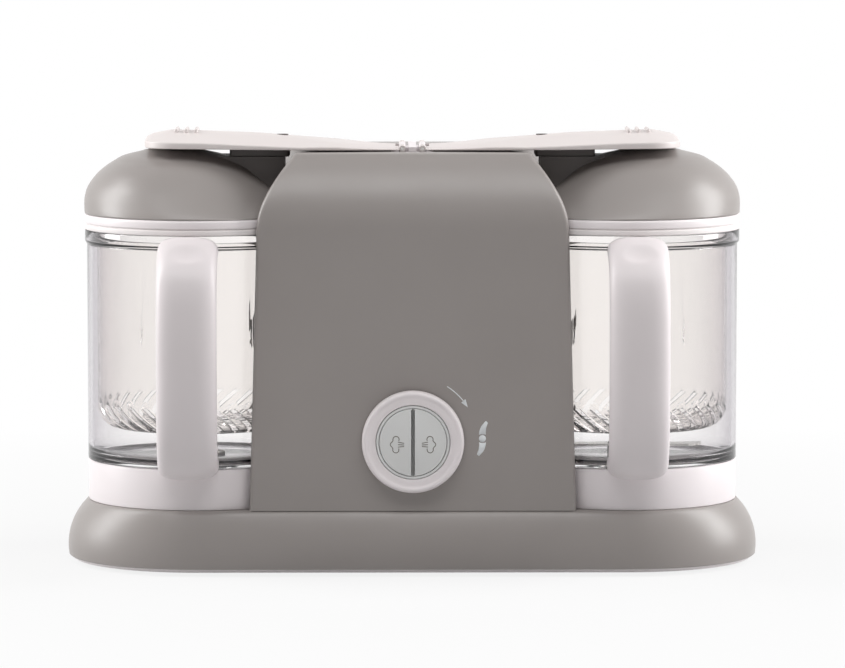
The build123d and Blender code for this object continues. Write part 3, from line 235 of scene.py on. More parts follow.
def brick(name, low, high, ease=0.5 * mm):
    """Box with rounded upright edges and eased rims."""
    (x0, y0, z0), (x1, y1, z1) = low, high
    outline = soften([(x0, y0), (x1, y0), (x1, y1), (x0, y1)], ease * 1.6)
    stack = [(z0, ease), (z0 + 0.3 * ease, 0.3 * ease), (z0 + ease, 0), (z1 - ease, 0),
             (z1 - 0.3 * ease, 0.3 * ease), (z1, ease)]
    return slab(name, outline, stack, lambda u, v, h: (u, v, h))


dressed = {}


def dress(piece, body, finish, *nodes):
    """The piece rides on a body, stands for some solids, and keeps its finish's name for later."""
    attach(piece, body)
    if nodes:
        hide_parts(*nodes)
    dressed[piece.name] = finish
    return piece


SIDES = {"left": -1, "right": 1}
print("helpers ready, sides", list(SIDES))

# %% [markdown]
# The camera comes first, so that each later piece can be judged in the picture. It stands far off with
# a long lens, a little above the machine's middle, and looks slightly down.
# %% Camera
view = bpy.data.cameras.new("portrait")
view.sensor_width, view.lens = 36.0, 211.8
view.clip_end = 50.0
camera = bpy.data.objects.new("portrait", view)
bpy.context.scene.collection.objects.link(camera)
yaw, pitch = 0.00764, 0.09641
camera.location = (-0.0156, -2.8, 0.3992)
camera.rotation_euler = (pi / 2 - pitch, 0.0, -yaw)
bpy.context.scene.camera = camera
print("camera", [round(v, 3) for v in camera.location], "lens", view.lens)

# %% [markdown]
# The base is one long loaf with round ends, and a shorter pad that carries the back of the column.
# Seen from above, both are stars about the middle: every direction meets the outline once. So the
# outline is the further of the two in each direction, blended where they meet. Going up, the side
# follows part of a circle, and it leans in more at the ends than along the front.
# %% Base shell
shell_low, shell_high = extent("base_shell")
tray_low, tray_high = extent("base_tray")
half_length = shell_high[0]
half_depth, lean = -shell_low[1], 0.57
end_reach = half_length - bowl_x
pad_reach, pad_half, pad_corner = shell_high[1], 95 * mm, 22 * mm
widest_z, bulge_radius = 10 * mm, 35 * mm


def bulge(z):
    """How far the side stands in from its widest line: R - sqrt(R^2 - dz^2)."""
    return bulge_radius - np.sqrt(bulge_radius ** 2 - (z - widest_z) ** 2)


def loaf_points(lean_in, skin, count=90):
    """Outline of the loaf and its pad: right front end, right back end, neck, pad corner, then mirrored."""
    across, deep = end_reach - lean_in - skin, half_depth - lean * lean_in - skin
    front_end, back_end = (circle(turn) * (across, deep) + (bowl_x, 0) for turn in (
        np.linspace(-pi / 2, 0, count), np.linspace(0, pi / 2, count)[1:]))
    inner = lean * lean_in + skin
    side, rear, corner = pad_half - inner, pad_reach - inner, pad_corner - inner
    hollow = 5 * mm
    t = np.linspace(0, 1, 9)[:, None]
    foot, knee, rise = (np.array(p) for p in ((side + hollow, deep), (side, deep), (side, deep + hollow)))
    neck = (1 - t) ** 2 * foot + 2 * t * (1 - t) * knee + t ** 2 * rise
    bend = circle(np.linspace(0, pi / 2, 16)) * corner + (side - corner, rear - corner)
    right = np.vstack([front_end, back_end[:-1], neck, bend])
    left = right[::-1] * (-1, 1)
    return np.vstack([right, left])


def base_ring(z, lean_in, skin=0.0):
    outline = loaf_points(lean_in, skin)
    return np.hstack([outline, np.full((len(outline), 1), z)])


rise = np.linspace(shell_low[2] + 0.5 * mm, shell_high[2] - 1.6 * mm, 22)
outer = [base_ring(shell_low[2], bulge(shell_low[2]), 0.5 * mm)]
outer += [base_ring(z, bulge(z)) for z in rise]
edge = bulge(rise[-1])
outer += [base_ring(shell_high[2] - down, edge, skin)
          for down, skin in ((0.8 * mm, 0.7 * mm), (0.25 * mm, 1.6 * mm), (0, 2.8 * mm))]
inner = [base_ring(z, bulge(z), wall) for z in np.linspace(shell_high[2] - wall, shell_low[2], 12)]
shell = from_rings("base_shell_skin", np.array(inner + outer))
hub_bore, gland_bore = 11.05 * mm, 7.05 * mm
hub_hole = upright_pin(hub_bore, shell_high[2] - 2 * wall, shell_high[2] + wall, bowl_x)
gland_low, gland_high = extent("cord_gland")
gland_x, gland_z = (gland_low[0] + gland_high[0]) / 2, (gland_low[2] + gland_high[2]) / 2
gland_hole = level_pin(gland_bore, pad_reach - 12 * mm, pad_reach + 5 * mm, gland_x, gland_z, 48)
cut_away(shell, [hub_hole, gland_hole])
dress(shell, "housing", "grey", "base_shell")
print("base shell", len(shell.data.polygons), "faces")

# %% [markdown]
# Under the grey shell sits a white tray. It shows as a thin light line that slopes in under the base,
# so that the machine seems to hover. Its top keeps the loaf's outline, and its foot stands further in.
# %% Base tray
tray_foot, tray_top = 8 * mm, 1.2 * mm
floor = tray_low[2]
slope = [(floor + 0.15 * mm, 5.6 * mm), (floor + 0.5 * mm, 4.0 * mm), (floor + 1.1 * mm, 2.9 * mm),
         (floor + 2.2 * mm, 2.1 * mm), (tray_high[2] - 0.6 * mm, tray_top + 0.2 * mm),
         (tray_high[2], tray_top + 0.4 * mm)]
skins = [base_ring(floor + 2.5 * mm, 0, tray_foot + wall + 2 * mm)]
skins += [base_ring(floor + 2.9 * mm, 0, tray_foot + wall), base_ring(tray_high[2], 0, tray_foot + wall - 0.4 * mm)]
under = [base_ring(z, 0, skin) for z, skin in reversed(slope)]
under += [base_ring(floor, 0, tray_foot)]
tray = from_rings("base_tray_skin", np.array(skins + under))
foot_high = extent("rubber_feet")[1]
recesses = [upright_pin(9.05 * mm, floor - 2 * mm, foot_high[2], x * mm, y * mm)
            for y, reach in ((-36, 150), (36, 150), (80, 38)) for x in (-reach, reach)]
screw_holes = [upright_pin(3.05 * mm, floor - 2 * mm, floor + 1.5 * mm, x * mm, y * mm, 32)
               for y, reach in ((0, 172), (-48, 60), (79, 66)) for x in (-reach, reach)]
cut_away(tray, recesses + screw_holes)
dress(tray, "housing", "white", "base_tray")
print("tray", len(tray.data.polygons), "faces")

# %% [markdown]
# The column's front cover is the face of the machine. Its plan is a slice between the two bowls: a flat
# front, small round tips, and hollow sides that keep the same distance from each bowl. Going up, the
# front leans back a little and then rolls over in a wide arc, so the hollow sides meet it further and
# further in. That is the waisted outline seen from the front. The same rule, moved in by the wall, gives
# the inside, and the two are closed along the bottom, the back and the roof.
# %% Column front cover
hug, tip_radius = 67 * mm, 2.5 * mm
crown_z, crown_radius = 192 * mm, 52 * mm
foot_y, lean_y = front_low[1], 2.4 * mm


def front_y(z):
    """Front face: a straight lean up to the crown, then y = c - sqrt(R^2 - (z - z0)^2)."""
    straight = foot_y + lean_y * np.clip((z - deck_z) / (crown_z - deck_z), 0, 1)
    past = np.clip(z - crown_z, 0, None)
    return straight + crown_radius - np.sqrt(crown_radius ** 2 - past ** 2)


def cover_ring(z, face, skin=0.0, sides=40, tips=10, across=30):
    """Open outline, right back corner to left back corner: hollow side, round tip, front, tip, side."""
    radius, tip = hug + skin, max(tip_radius - skin, 0.4 * mm)
    tip_y = face + tip
    tip_x = bowl_x - sqrt((radius + tip) ** 2 - tip_y ** 2)
    share = radius / (radius + tip)
    touch_y = tip_y * share
    y = np.linspace(split_y, touch_y, sides)
    hollow = np.stack([bowl_x - np.sqrt(radius ** 2 - y ** 2), y], -1)
    start = np.arctan2(touch_y - tip_y, bowl_x + (tip_x - bowl_x) * share - tip_x)
    turn = np.linspace(start, -pi / 2, tips + 1)[1:]
    nose = circle(turn) * tip + (tip_x, tip_y)
    front = np.stack([np.linspace(tip_x, -tip_x, across)[1:-1], np.full(across - 2, face)], -1)
    right = np.vstack([hollow, nose])
    outline = np.vstack([right, front, right[::-1] * (-1, 1)])
    return np.hstack([outline, np.full((len(outline), 1), z)])


def crown_levels(top):
    """Heights: a few up the straight front, then equal steps of the crown's arc."""
    end = np.arcsin((top - crown_z) / crown_radius)
    arc_levels = crown_z + crown_radius * np.sin(np.linspace(0, end, 30))
    return np.concatenate([np.linspace(deck_z, crown_z, 8)[:-1], arc_levels])


ease = 2.2 * mm
outer = [cover_ring(z, front_y(z)) for z in crown_levels(roof_z - ease)]
last_y = front_y(roof_z - ease)
climb = np.array([(0.45, 0.35), (0.78, 0.85), (0.95, 1.5), (1.0, 2.4)]) * ease
outer += [cover_ring(roof_z - ease + up, last_y + 0.9 * along) for up, along in climb]
inner = [cover_ring(z, front_y(z) + wall, wall) for z in crown_levels(roof_z - wall)]


def open_cover(name, outer, inner):
    """Wall between two stacks of open outlines. Quads close the bottom, one face closes each back edge,
    and the roof is a flat face outside, one inside and one between them at the seam."""
    rows, inner_rows, columns = len(outer), len(inner), outer[0].shape[0]
    points = np.concatenate([np.array(outer).reshape(-1, 3), np.array(inner).reshape(-1, 3)])
    outside = np.arange(rows * columns).reshape(rows, columns)
    inside = rows * columns + np.arange(inner_rows * columns).reshape(inner_rows, columns)
    foot, foot_in, roof, roof_in = outside[0], inside[0], outside[-1], inside[-1]
    faces = ring_quads(rows, columns)[:, :-1].reshape(-1, 4).tolist()
    faces += (rows * columns + ring_quads(inner_rows, columns)[:, :-1]).reshape(-1, 4).tolist()
    faces += np.stack([foot[:-1], foot[1:], foot_in[1:], foot_in[:-1]], -1).tolist()
    faces += [roof.tolist(), roof_in.tolist()]
    for column in (0, -1):
        faces.append(outside[:, column].tolist() + inside[::-1, column].tolist())
    faces.append([int(roof[0]), int(roof[-1]), int(roof_in[-1]), int(roof_in[0])])
    return make_piece(name, points, faces)


cover = open_cover("column_front_skin", outer, inner)
knob_low, knob_high = extent("knob_ring")
knob_radius = (knob_high[0] - knob_low[0]) / 2
knob_z = knob_high[2] - knob_radius
mouth_bore, outlet_bore, knob_bore = 13.05 * mm, 4.75 * mm, 23 * mm
mouth_x, mouth_y, outlet_x, outlet_y = 29.5, 14 * mm, 47.3, -22 * mm
roof_cut = (roof_z - 5 * mm, roof_z + 3 * mm)
mouths = [upright_pin(mouth_bore, *roof_cut, sign * mouth_x * mm, mouth_y) for sign in SIDES.values()]
outlets = [upright_pin(outlet_bore, *roof_cut, sign * outlet_x * mm, outlet_y, 40) for sign in SIDES.values()]
slot_x, slot_y = 12 * mm, 29.5 * mm


def hinge_slot(front, back):
    """Cutter for the roof's slot, in which the hinge lies."""
    return brick("cutter", (-slot_x, front, roof_z - 6 * mm), (slot_x, back, roof_z + 3 * mm), 0.3 * mm)


knob_hole = level_pin(knob_bore, foot_y - 6 * mm, foot_y + 8 * mm, 0, knob_z, 96)
cut_away(cover, mouths + outlets + [hinge_slot(-slot_y, split_y + 5 * mm), knob_hole])
dress(cover, "housing", "grey", "column_front_cover")
print("front cover", len(cover.data.polygons), "faces")

# %% [markdown]
# The rear cover carries on from the front one: the hollow sides swing out into a broad back that holds
# the tanks, with round corners and a round top edge. Each height gives one plan outline, and near the
# roof the back edge comes forward along a quarter circle.
# %% Column rear cover
rear_high = extent("column_rear_cover")[1]
rear_y, side_x = rear_high[1], rear_high[0]
rear_corner, rear_crown = 18 * mm, 26 * mm


def rear_ring(z, skin=0.0, hollow_count=26):
    """Open outline, from the seam round the back to the seam: hollow side, flat side, corner, back."""
    radius, side, top = hug + skin, side_x - skin, roof_z - skin
    crown, over = rear_crown - skin, max(0.0, z - (top - rear_crown + skin))
    back = rear_y - skin - crown + sqrt(max(crown ** 2 - over ** 2, 0.0))
    corner = rear_corner - skin
    shoulder = sqrt(radius ** 2 - (bowl_x - side) ** 2)
    y = np.linspace(split_y, min(shoulder, back - corner), hollow_count)
    hollow = np.stack([bowl_x - np.sqrt(radius ** 2 - y ** 2), y], -1)
    bend = circle(np.linspace(0, pi / 2, 14)) * corner + (hollow[-1, 0] - corner, back - corner)
    right = np.vstack([hollow, bend])
    outline = np.vstack([right, right[::-1] * (-1, 1)])
    return np.hstack([outline, np.full((len(outline), 1), z)])


def rear_levels(top, skin):
    crown = rear_crown - skin
    climb = np.linspace(0, 0.93, 16)
    return np.concatenate([[deck_z], top - crown + crown * np.sin(climb * pi / 2)])


outer = [rear_ring(z) for z in rear_levels(roof_z, 0)]
inner = [rear_ring(z, wall) for z in rear_levels(roof_z - wall, wall)]
outer.append(outer[-1] * (1, 1, 0) + (0, 0, roof_z))
inner.append(inner[-1] * (1, 1, 0) + (0, 0, roof_z - wall))
rear = open_cover("column_rear_skin", outer, inner)
cut_away(rear, [hinge_slot(split_y - 5 * mm, slot_y)])
dress(rear, "housing", "grey", "column_rear_cover")
print("rear cover", len(rear.data.polygons), "faces")

# %% [markdown]
# Each bowl stands in a white foot band. It is turned: a tall thin ring with eased rims and a web inside
# that carries the bowl. Three flat lugs under the web's edge lock it to the base.
# %% Foot bands
web_z, web, band_wall, web_bore = 45 * mm, 2.5 * mm, 2.6 * mm, 14.5 * mm


def lug_piece(x, side, turn):
    """Flat part of a ring: an outline of two arcs, raised into a slab."""
    span = np.radians(np.linspace(turn - 12, turn + 12, 12))
    far, near = band_radius - band_wall + 0.6 * mm, 47.5 * mm
    arcs = np.vstack([far * circle(span), near * circle(span)[::-1]])
    lift = deck_z + 0.3 * mm
    stack = [(lift, 0.3 * mm), (lift + 0.3 * mm, 0), (lift + 1.5 * mm, 0), (lift + 1.8 * mm, 0.3 * mm)]
    return slab("lug", arcs, stack, lambda u, v, h: (x + side * u, v, h))


def foot_band(side, x):
    within = band_radius - band_wall
    outline = soften([
        (within, deck_z, 0.4 * mm), (band_radius, deck_z, 0.7 * mm), (band_radius, band_top, 1.1 * mm),
        (within, band_top, 0.3 * mm), (within, web_z + web, 0.6 * mm), (web_bore, web_z + web, 0.4 * mm),
        (web_bore, web_z, 0.4 * mm), (within, web_z, 0.8 * mm)], 0.5 * mm, 3)
    ring = lathe(f"foot_band_{side}", outline, x, count=176)
    return join([ring] + [lug_piece(x, SIDES[side], turn) for turn in (30, 150, 270)])


for side, sign in SIDES.items():
    band = foot_band(side, sign * bowl_x)
    dress(band, f"bowl_{side}", "white", f"bowl_base_{side}")
print("bands", round(band_radius / mm, 1), "mm in radius")

# %% [markdown]
# The clear bowls are turned too, in one closed outline: a skirt that plugs into the band, a thick
# floor, a thin wall, and a wider collar at the rim with a small step. The thick floor is where clear
# plastic shows its dark lines, so its corners are rounded with care.
# %% Clear bowls
boss_low = extent("floor_plug")[0][2]
floor_z, floor_thick, jug_wall = 60 * mm, 3.5 * mm, 2.6 * mm
collar_z, collar_wall = 182 * mm, 2.2 * mm
skirt = band_radius - band_wall - 0.05 * mm
inside = jug_radius - jug_wall


def clear_bowl(side, x):
    bore, boss, below = 7.05 * mm, 14 * mm, floor_z - floor_thick
    outline = soften([
        (bore, boss_low, 0.3 * mm), (boss, boss_low, 0.8 * mm), (boss, below, 1.2 * mm),
        (skirt - jug_wall, below, 1.6 * mm), (skirt - jug_wall, web_z + web, 0.5 * mm),
        (skirt, web_z + web, 0.5 * mm), (skirt, band_top, 0.4 * mm), (jug_radius, band_top, 0.9 * mm),
        (jug_radius, collar_z - 1.5 * mm, 0.8 * mm), (collar_radius, collar_z, 0.9 * mm),
        (collar_radius, rim_z, 0.7 * mm), (collar_radius - collar_wall, rim_z, 0.7 * mm),
        (collar_radius - collar_wall, collar_z + 0.5 * mm, 0.6 * mm), (inside, collar_z + 0.5 * mm, 0.8 * mm),
        (inside, floor_z + 4.5 * mm, 4 * mm), (inside - 5 * mm, floor_z, 4 * mm), (bore, floor_z, 0.3 * mm)],
        0.5 * mm, 4)
    return lathe(f"clear_bowl_{side}", outline, x, count=208)


for side, sign in SIDES.items():
    dress(clear_bowl(side, sign * bowl_x), f"bowl_{side}", "clear", f"jug_{side}")
print("bowls from", round(boss_low / mm, 1), "to", round(rim_z / mm, 1))

# %% [markdown]
# A steaming basket hangs inside each bowl. It starts as one thin skin: a grid of 36 sectors round the
# axis, where a slot's two edges stay parallel because its half angle at radius r is asin(w / r). The
# sectors turn a little as they go down, so the slots lean like the blades of a fan. The quads inside
# the slots are left out, and Solidify turns what is left into a wall, slots and all.
# Three shallow ribs, wide at the top and gone half way down, stiffen the wall.
# %% Steaming baskets
basket_low = extent("basket_right")[0]
basket_radius, basket_floor = 57.8 * mm, basket_low[2]
seat_z = collar_z + 0.5 * mm
basket_wall = 1.8 * mm
sectors, slot_half, slot_top, slot_lean = 36, 1.9 * mm, 91.5 * mm, radians(17)
floor_slots, wall_slots = (13 * mm, 38 * mm), 46 * mm
rib_foot, rib_rise, rib_top, rib_half, rib_depth = 125 * mm, 53 * mm, 178 * mm, 6.5 * mm, 1.1 * mm


def basket_profile():
    """Middle of the wall: from the floor's centre out, round the corner, up the wall, out to the flange."""
    r, z = basket_radius - basket_wall / 2, basket_floor + basket_wall / 2
    corner = 11 * mm
    turn = np.linspace(0, pi / 2, 9)
    floor_part = np.stack([np.linspace(4 * mm, r - corner, 14), np.full(14, z)], -1)
    bend = np.stack([r - corner + corner * np.sin(turn), z + corner - corner * np.cos(turn)], -1)[1:]
    low_wall = np.stack([np.full(5, r), np.linspace(z + corner, slot_top, 6)[1:]], -1)
    high_wall = np.stack([np.full(22, r), np.linspace(slot_top, seat_z - 0.6 * mm, 23)[1:]], -1)
    flange = np.array([(r + 0.3 * mm, seat_z + 0.3 * mm), (r + 0.8 * mm, seat_z + 0.9 * mm),
                       (collar_radius - collar_wall - 0.8 * mm, seat_z + 0.9 * mm)])
    return np.vstack([floor_part, bend, low_wall, high_wall, flange])


def basket(side, x):
    profile = basket_profile()
    r, z = profile[:, 0:1], profile[:, 1:2]
    slot_angle = np.arcsin(np.clip(slot_half / r, 0, 0.9)).clip(max=0.8 * pi / sectors)
    pitch = 2 * pi / sectors
    share = np.linspace(0, 1, 7)[None, :-1]
    between = slot_angle + (pitch - 2 * slot_angle) * share
    local = np.concatenate([-slot_angle, np.zeros_like(slot_angle), between], 1)
    columns_per = local.shape[1]
    angle = (local[:, None, :] + pitch * np.arange(sectors)[None, :, None]).reshape(len(profile), -1)
    angle = angle + slot_lean * np.clip((slot_top - z) / (slot_top - basket_floor), 0, 1)
    rib = np.zeros_like(angle)
    for place in (-57, -123, 90):
        off = np.abs((angle - radians(place) + pi) % (2 * pi) - pi) * basket_radius
        width = np.clip((z - rib_foot) / rib_rise, 0, 1) * rib_half
        rib += np.where(off < width, 0.5 + 0.5 * np.cos(pi * off / np.maximum(width, 1e-9)), 0) * (z > rib_foot)
    reach = r - rib_depth * rib * np.clip((rib_top - z) / (4 * mm), 0, 1)
    points = np.stack([x + reach * np.cos(angle), reach * np.sin(angle), z + 0 * angle], -1)
    rows, columns = angle.shape
    i, j = np.arange(rows - 1)[:, None], np.arange(columns)[None, :]
    in_slot = (j % columns_per) < 2
    sector = (j // columns_per) % 2 == 1
    low_r, high_r, high_z = r[i, 0], r[i + 1, 0], z[i + 1, 0]
    on_floor = (low_r > floor_slots[0]) & (high_r < floor_slots[1]) & (high_z < basket_floor + 2 * mm)
    on_wall = (low_r > wall_slots) & (high_z < slot_top + 0.2 * mm)
    keep = ~(in_slot & (sector & on_floor | on_wall))
    faces = ring_quads(rows, columns)[keep].tolist() + [list(range(columns))]
    piece = make_piece(f"steaming_basket_{side}", points, faces, 40)
    loose = bmesh.new()
    loose.from_mesh(piece.data)
    bmesh.ops.delete(loose, geom=[v for v in loose.verts if not v.link_faces], context="VERTS")
    loose.to_mesh(piece.data)
    loose.free()
    wall_step = piece.modifiers.new("wall", "SOLIDIFY")
    wall_step.thickness, wall_step.offset = basket_wall - 0.2 * mm, 0.0
    return piece


for side, sign in SIDES.items():
    dress(basket(side, sign * bowl_x), f"bowl_{side}", "basket", f"basket_{side}")
print("basket sectors", sectors)

# %% [markdown]
# The handles are white, fat and soft, like a thumb. A handle is a closed ring carried along a path:
# two smooth curves in side view give its outer and its inner edge, and at each step an oval with
# squarish sides, x = a sign(c)|c|^p, spans them. A shallow dish for the thumb is pressed into the
# sloping shoulder. Where the tube would enter the bowl, its points slide out to the bowl's surface.
# %% Handles
grip_low, grip_high = extent("handle_right")
grip_x, grip_half = (grip_low[0] + grip_high[0]) / 2, (grip_high[0] - grip_low[0]) / 2
grip_top = grip_high[2]
outer_edge = [(-50, 0), (-62, 0), (-71, -0.6), (-79, -4.0), (-86.5, -8.5), (-93, -14.5), (-97.6, -23), (-100.6, -36),
              (-102, -54), (-101.8, -72), (-101.2, -89), (-99.4, -102), (-96.4, -113), (-91.5, -122), (-84.5, -129.5),
              (-75, -133.6), (-64, -134.4), (-50, -134.4)]
inner_edge = [(-50, -16.5), (-61, -16.5), (-67, -17.2), (-72.5, -19), (-77.5, -22.5), (-81.5, -27), (-84, -34),
              (-85.4, -44), (-86, -57), (-85.9, -73), (-85.3, -87), (-84.2, -97), (-82.4, -105), (-79.5, -111.5),
              (-75, -116), (-69, -118.2), (-61, -118.6), (-50, -118.6)]
squarish, dish_depth = 0.74, 2.0 * mm


def power(wave, exponent):
    return np.sign(wave) * np.abs(wave) ** exponent


def bowl_reach(z):
    """Radius of the bowl with its band at a height, as the handle meets it."""
    reach = np.where(z < band_top, band_radius, jug_radius)
    share = np.clip((z - collar_z + 1.5 * mm) / (1.5 * mm), 0, 1)
    return np.maximum(reach, jug_radius + share * (collar_radius - jug_radius)) * (z >= band_top) \
        + band_radius * (z < band_top)


def handle(side, sign, steps=150, around=56):
    outer, inner = through(outer_edge, steps) * mm, through(inner_edge, steps) * mm
    outer[:, 1] += grip_top
    inner[:, 1] += grip_top
    turn = np.linspace(0, 2 * pi, around, endpoint=False)[None, :]
    middle, half = (outer + inner) / 2, (outer - inner) / 2
    along, across = power(np.cos(turn), squarish), power(np.sin(turn), squarish)
    y = middle[:, 0:1] + half[:, 0:1] * along
    z = middle[:, 1:2] + half[:, 1:2] * along
    x = grip_x + grip_half * across + 0 * y
    aside, above = (x - grip_x) / (10.5 * mm), (z - grip_top + 7.5 * mm) / (6.2 * mm)
    dish = aside ** 2 + above ** 2 + ((y + 85.5 * mm) / (12 * mm)) ** 2
    depth = dish_depth * np.clip(1 - dish, 0, 1) ** 1.5 * (along > 0.2)
    y, z = y + 0.55 * depth, z - 0.83 * depth
    reach = bowl_reach(z) + 0.05 * mm
    y = np.minimum(y, -np.sqrt(reach ** 2 - (x - bowl_x) ** 2))
    return from_rings(f"handle_{side}_grip", np.stack([sign * x, y, z], -1), sharp=50)


for side, sign in SIDES.items():
    dress(handle(side, sign), f"bowl_{side}", "grip", f"handle_{side}")
print("handle", round(2 * grip_half / mm, 1), "mm wide")

# %% [markdown]
# The lids' domes are grey and lopsided. Each height is a circle, but towards the top the circles shrink
# and drift outwards, so the outer side stands upright and the side towards the column slopes. The
# circles follow one smooth curve, inside and out, and a short neck carries the arm above.
# %% Lid domes
dome_high = extent("dome_right")[1]
ring_low, ring_high = extent("lid_ring_right")
dome_knots = np.array([(0, 64.5, 64.5), (3.5, 64.7, 59.6), (9.5, 64.4, 50.0), (15.6, 62.4, 41.9), (22, 57.6, 34.4),
                       (26.5, 52.4, 28.7), (29.5, 47.8, 22.9), (32.4, 42.3, 15.6), (35.1, 31.8, 4.2)]) * mm
dome_wall, neck_radius = 2.5 * mm, 14 * mm


def dome(side, sign, count=176):
    levels = through(dome_knots, 60)
    rise, far, near = levels.T
    centre, radius = bowl_x + (far - near) / 2, (far + near) / 2
    base = ring_high[2]
    inner_rise = np.minimum(rise, rise[-1] - dome_wall)
    inner = [(c, r - dome_wall, base + h) for c, r, h in zip(centre, radius, inner_rise)][:56:2]
    outer = [(c, r, base + h) for c, r, h in zip(centre, radius, rise)]
    outer[0] = (centre[0], radius[0] - 0.3 * mm, base)
    lip = [(centre[-1], radius[-1] * k, base + rise[-1] + up) for k, up in ((0.93, 0.5 * mm), (0.8, 0.8 * mm))]
    neck_x = bowl_x + 12.8 * mm
    lip += [(neck_x, 16 * mm, base + rise[-1] + 0.9 * mm), (neck_x, 14.4 * mm, base + rise[-1] + 1.1 * mm),
            (neck_x, neck_radius, base + rise[-1] + 1.8 * mm), (neck_x, neck_radius, dome_high[2] - 1 * mm)]
    turn = np.linspace(0, 2 * pi, count, endpoint=False)
    rings = [np.stack([sign * (c + r * np.cos(turn)), r * np.sin(turn), np.full(count, z)], -1)
             for c, r, z in inner[::-1] + outer + lip]
    return from_rings(f"dome_{side}_skin", np.array(rings), sharp=40)


for side, sign in SIDES.items():
    dress(dome(side, sign), f"lid_{side}", "grey", f"dome_{side}")
print("dome rises", round((dome_high[2] - ring_high[2]) / mm, 1), "mm above its ring")

# %% [markdown]
# Under each dome a white ring clips on, and a soft pale seal below it presses on the bowl's rim. Both
# are turned, with a fine groove between them that shows as a thin shadow line.
# %% Lid rings and seals
ring_radius = (ring_high[0] - ring_low[0]) / 2
seal_low, seal_high = extent("lid_seal_right")
ring_inner, groove = ring_radius - 6.5 * mm, ring_radius - 0.8 * mm
for side, sign in SIDES.items():
    hoop = soften([(ring_inner, ring_low[2], 0.3 * mm), (ring_radius, ring_low[2], 0.5 * mm),
                   (ring_radius, ring_high[2] - 1.1 * mm, 0.9 * mm), (ring_radius - 0.9 * mm, ring_high[2], 0.8 * mm),
                   (ring_inner, ring_high[2], 0.4 * mm)], 0.4 * mm, 3)
    dress(lathe(f"lid_hoop_{side}", hoop, sign * bowl_x, count=176), f"lid_{side}", "white", f"lid_ring_{side}")
    gasket = soften([(ring_inner, seal_low[2], 0.5 * mm), (ring_radius, seal_low[2], 1.0 * mm),
                     (ring_radius, seal_high[2] - 1.0 * mm, 0.5 * mm), (groove, seal_high[2] - 0.6 * mm, 0.2 * mm),
                     (groove, seal_high[2], 0.1 * mm), (ring_inner, seal_high[2], 0.3 * mm)], 0.4 * mm, 3)
    dress(lathe(f"lid_gasket_{side}", gasket, sign * bowl_x, count=176), f"lid_{side}", "seal", f"lid_seal_{side}")
print("ring radius", round(ring_radius / mm, 1))

# %% [markdown]
# A white arm lies over each dome, hinged at the middle of the machine. It is flat near the hinge, and
# rises and widens outwards to a soft ridge, like a low roof. Cross sections with eased corners are
# carried along the arm; near its outer end they narrow along a quarter circle, which rounds the corners
# of its plan. Three small ribs at the end give the fingers grip. A dark rib under the arm is painted
# shade: a dark sheet that fills the gap over the steam duct, where the arm's shadow falls.
# %% Lid arms
arm_low, arm_high = extent("lid_arm_right")
pin_low, pin_high = extent("hinge_pins")
hinge_z = (pin_low[2] + pin_high[2]) / 2
barrel_radius = hinge_z - arm_low[2]
hinge_x = arm_low[0] + barrel_radius
arm_knots = np.array([(5.6, 28, -0.8, -0.3, 12, 0.6), (18, 30, -0.75, 0.0, 12, 1.2), (34, 32, -0.65, 0.6, 20, 2.4),
                      (40.5, 33, -0.6, 1.2, 25, 3.0), (52, 34, -0.5, 1.4, 20, 4.2), (63, 35, -0.4, 1.2, 10, 5.6),
                      (87, 36, -0.15, 2.3, 6, 7.7), (118, 36, 0.2, 3.7, 6, 8.9), (135, 36, 0.4, 4.0, 6, 9.5),
                      (146, 36, 0.47, 4.15, 6, 7.4), (150, 36, 0.5, 4.2, 6, 5.4)]) * mm
arm_corner, barrel_half, notch_half, pin_bore = 18 * mm, 28 * mm, 12 * mm, 1.05 * mm
finger_ribs = (121.5, 127.0, 132.5)
collar_near, collar_far, collar_half = 69.0, 102.5, 14.5


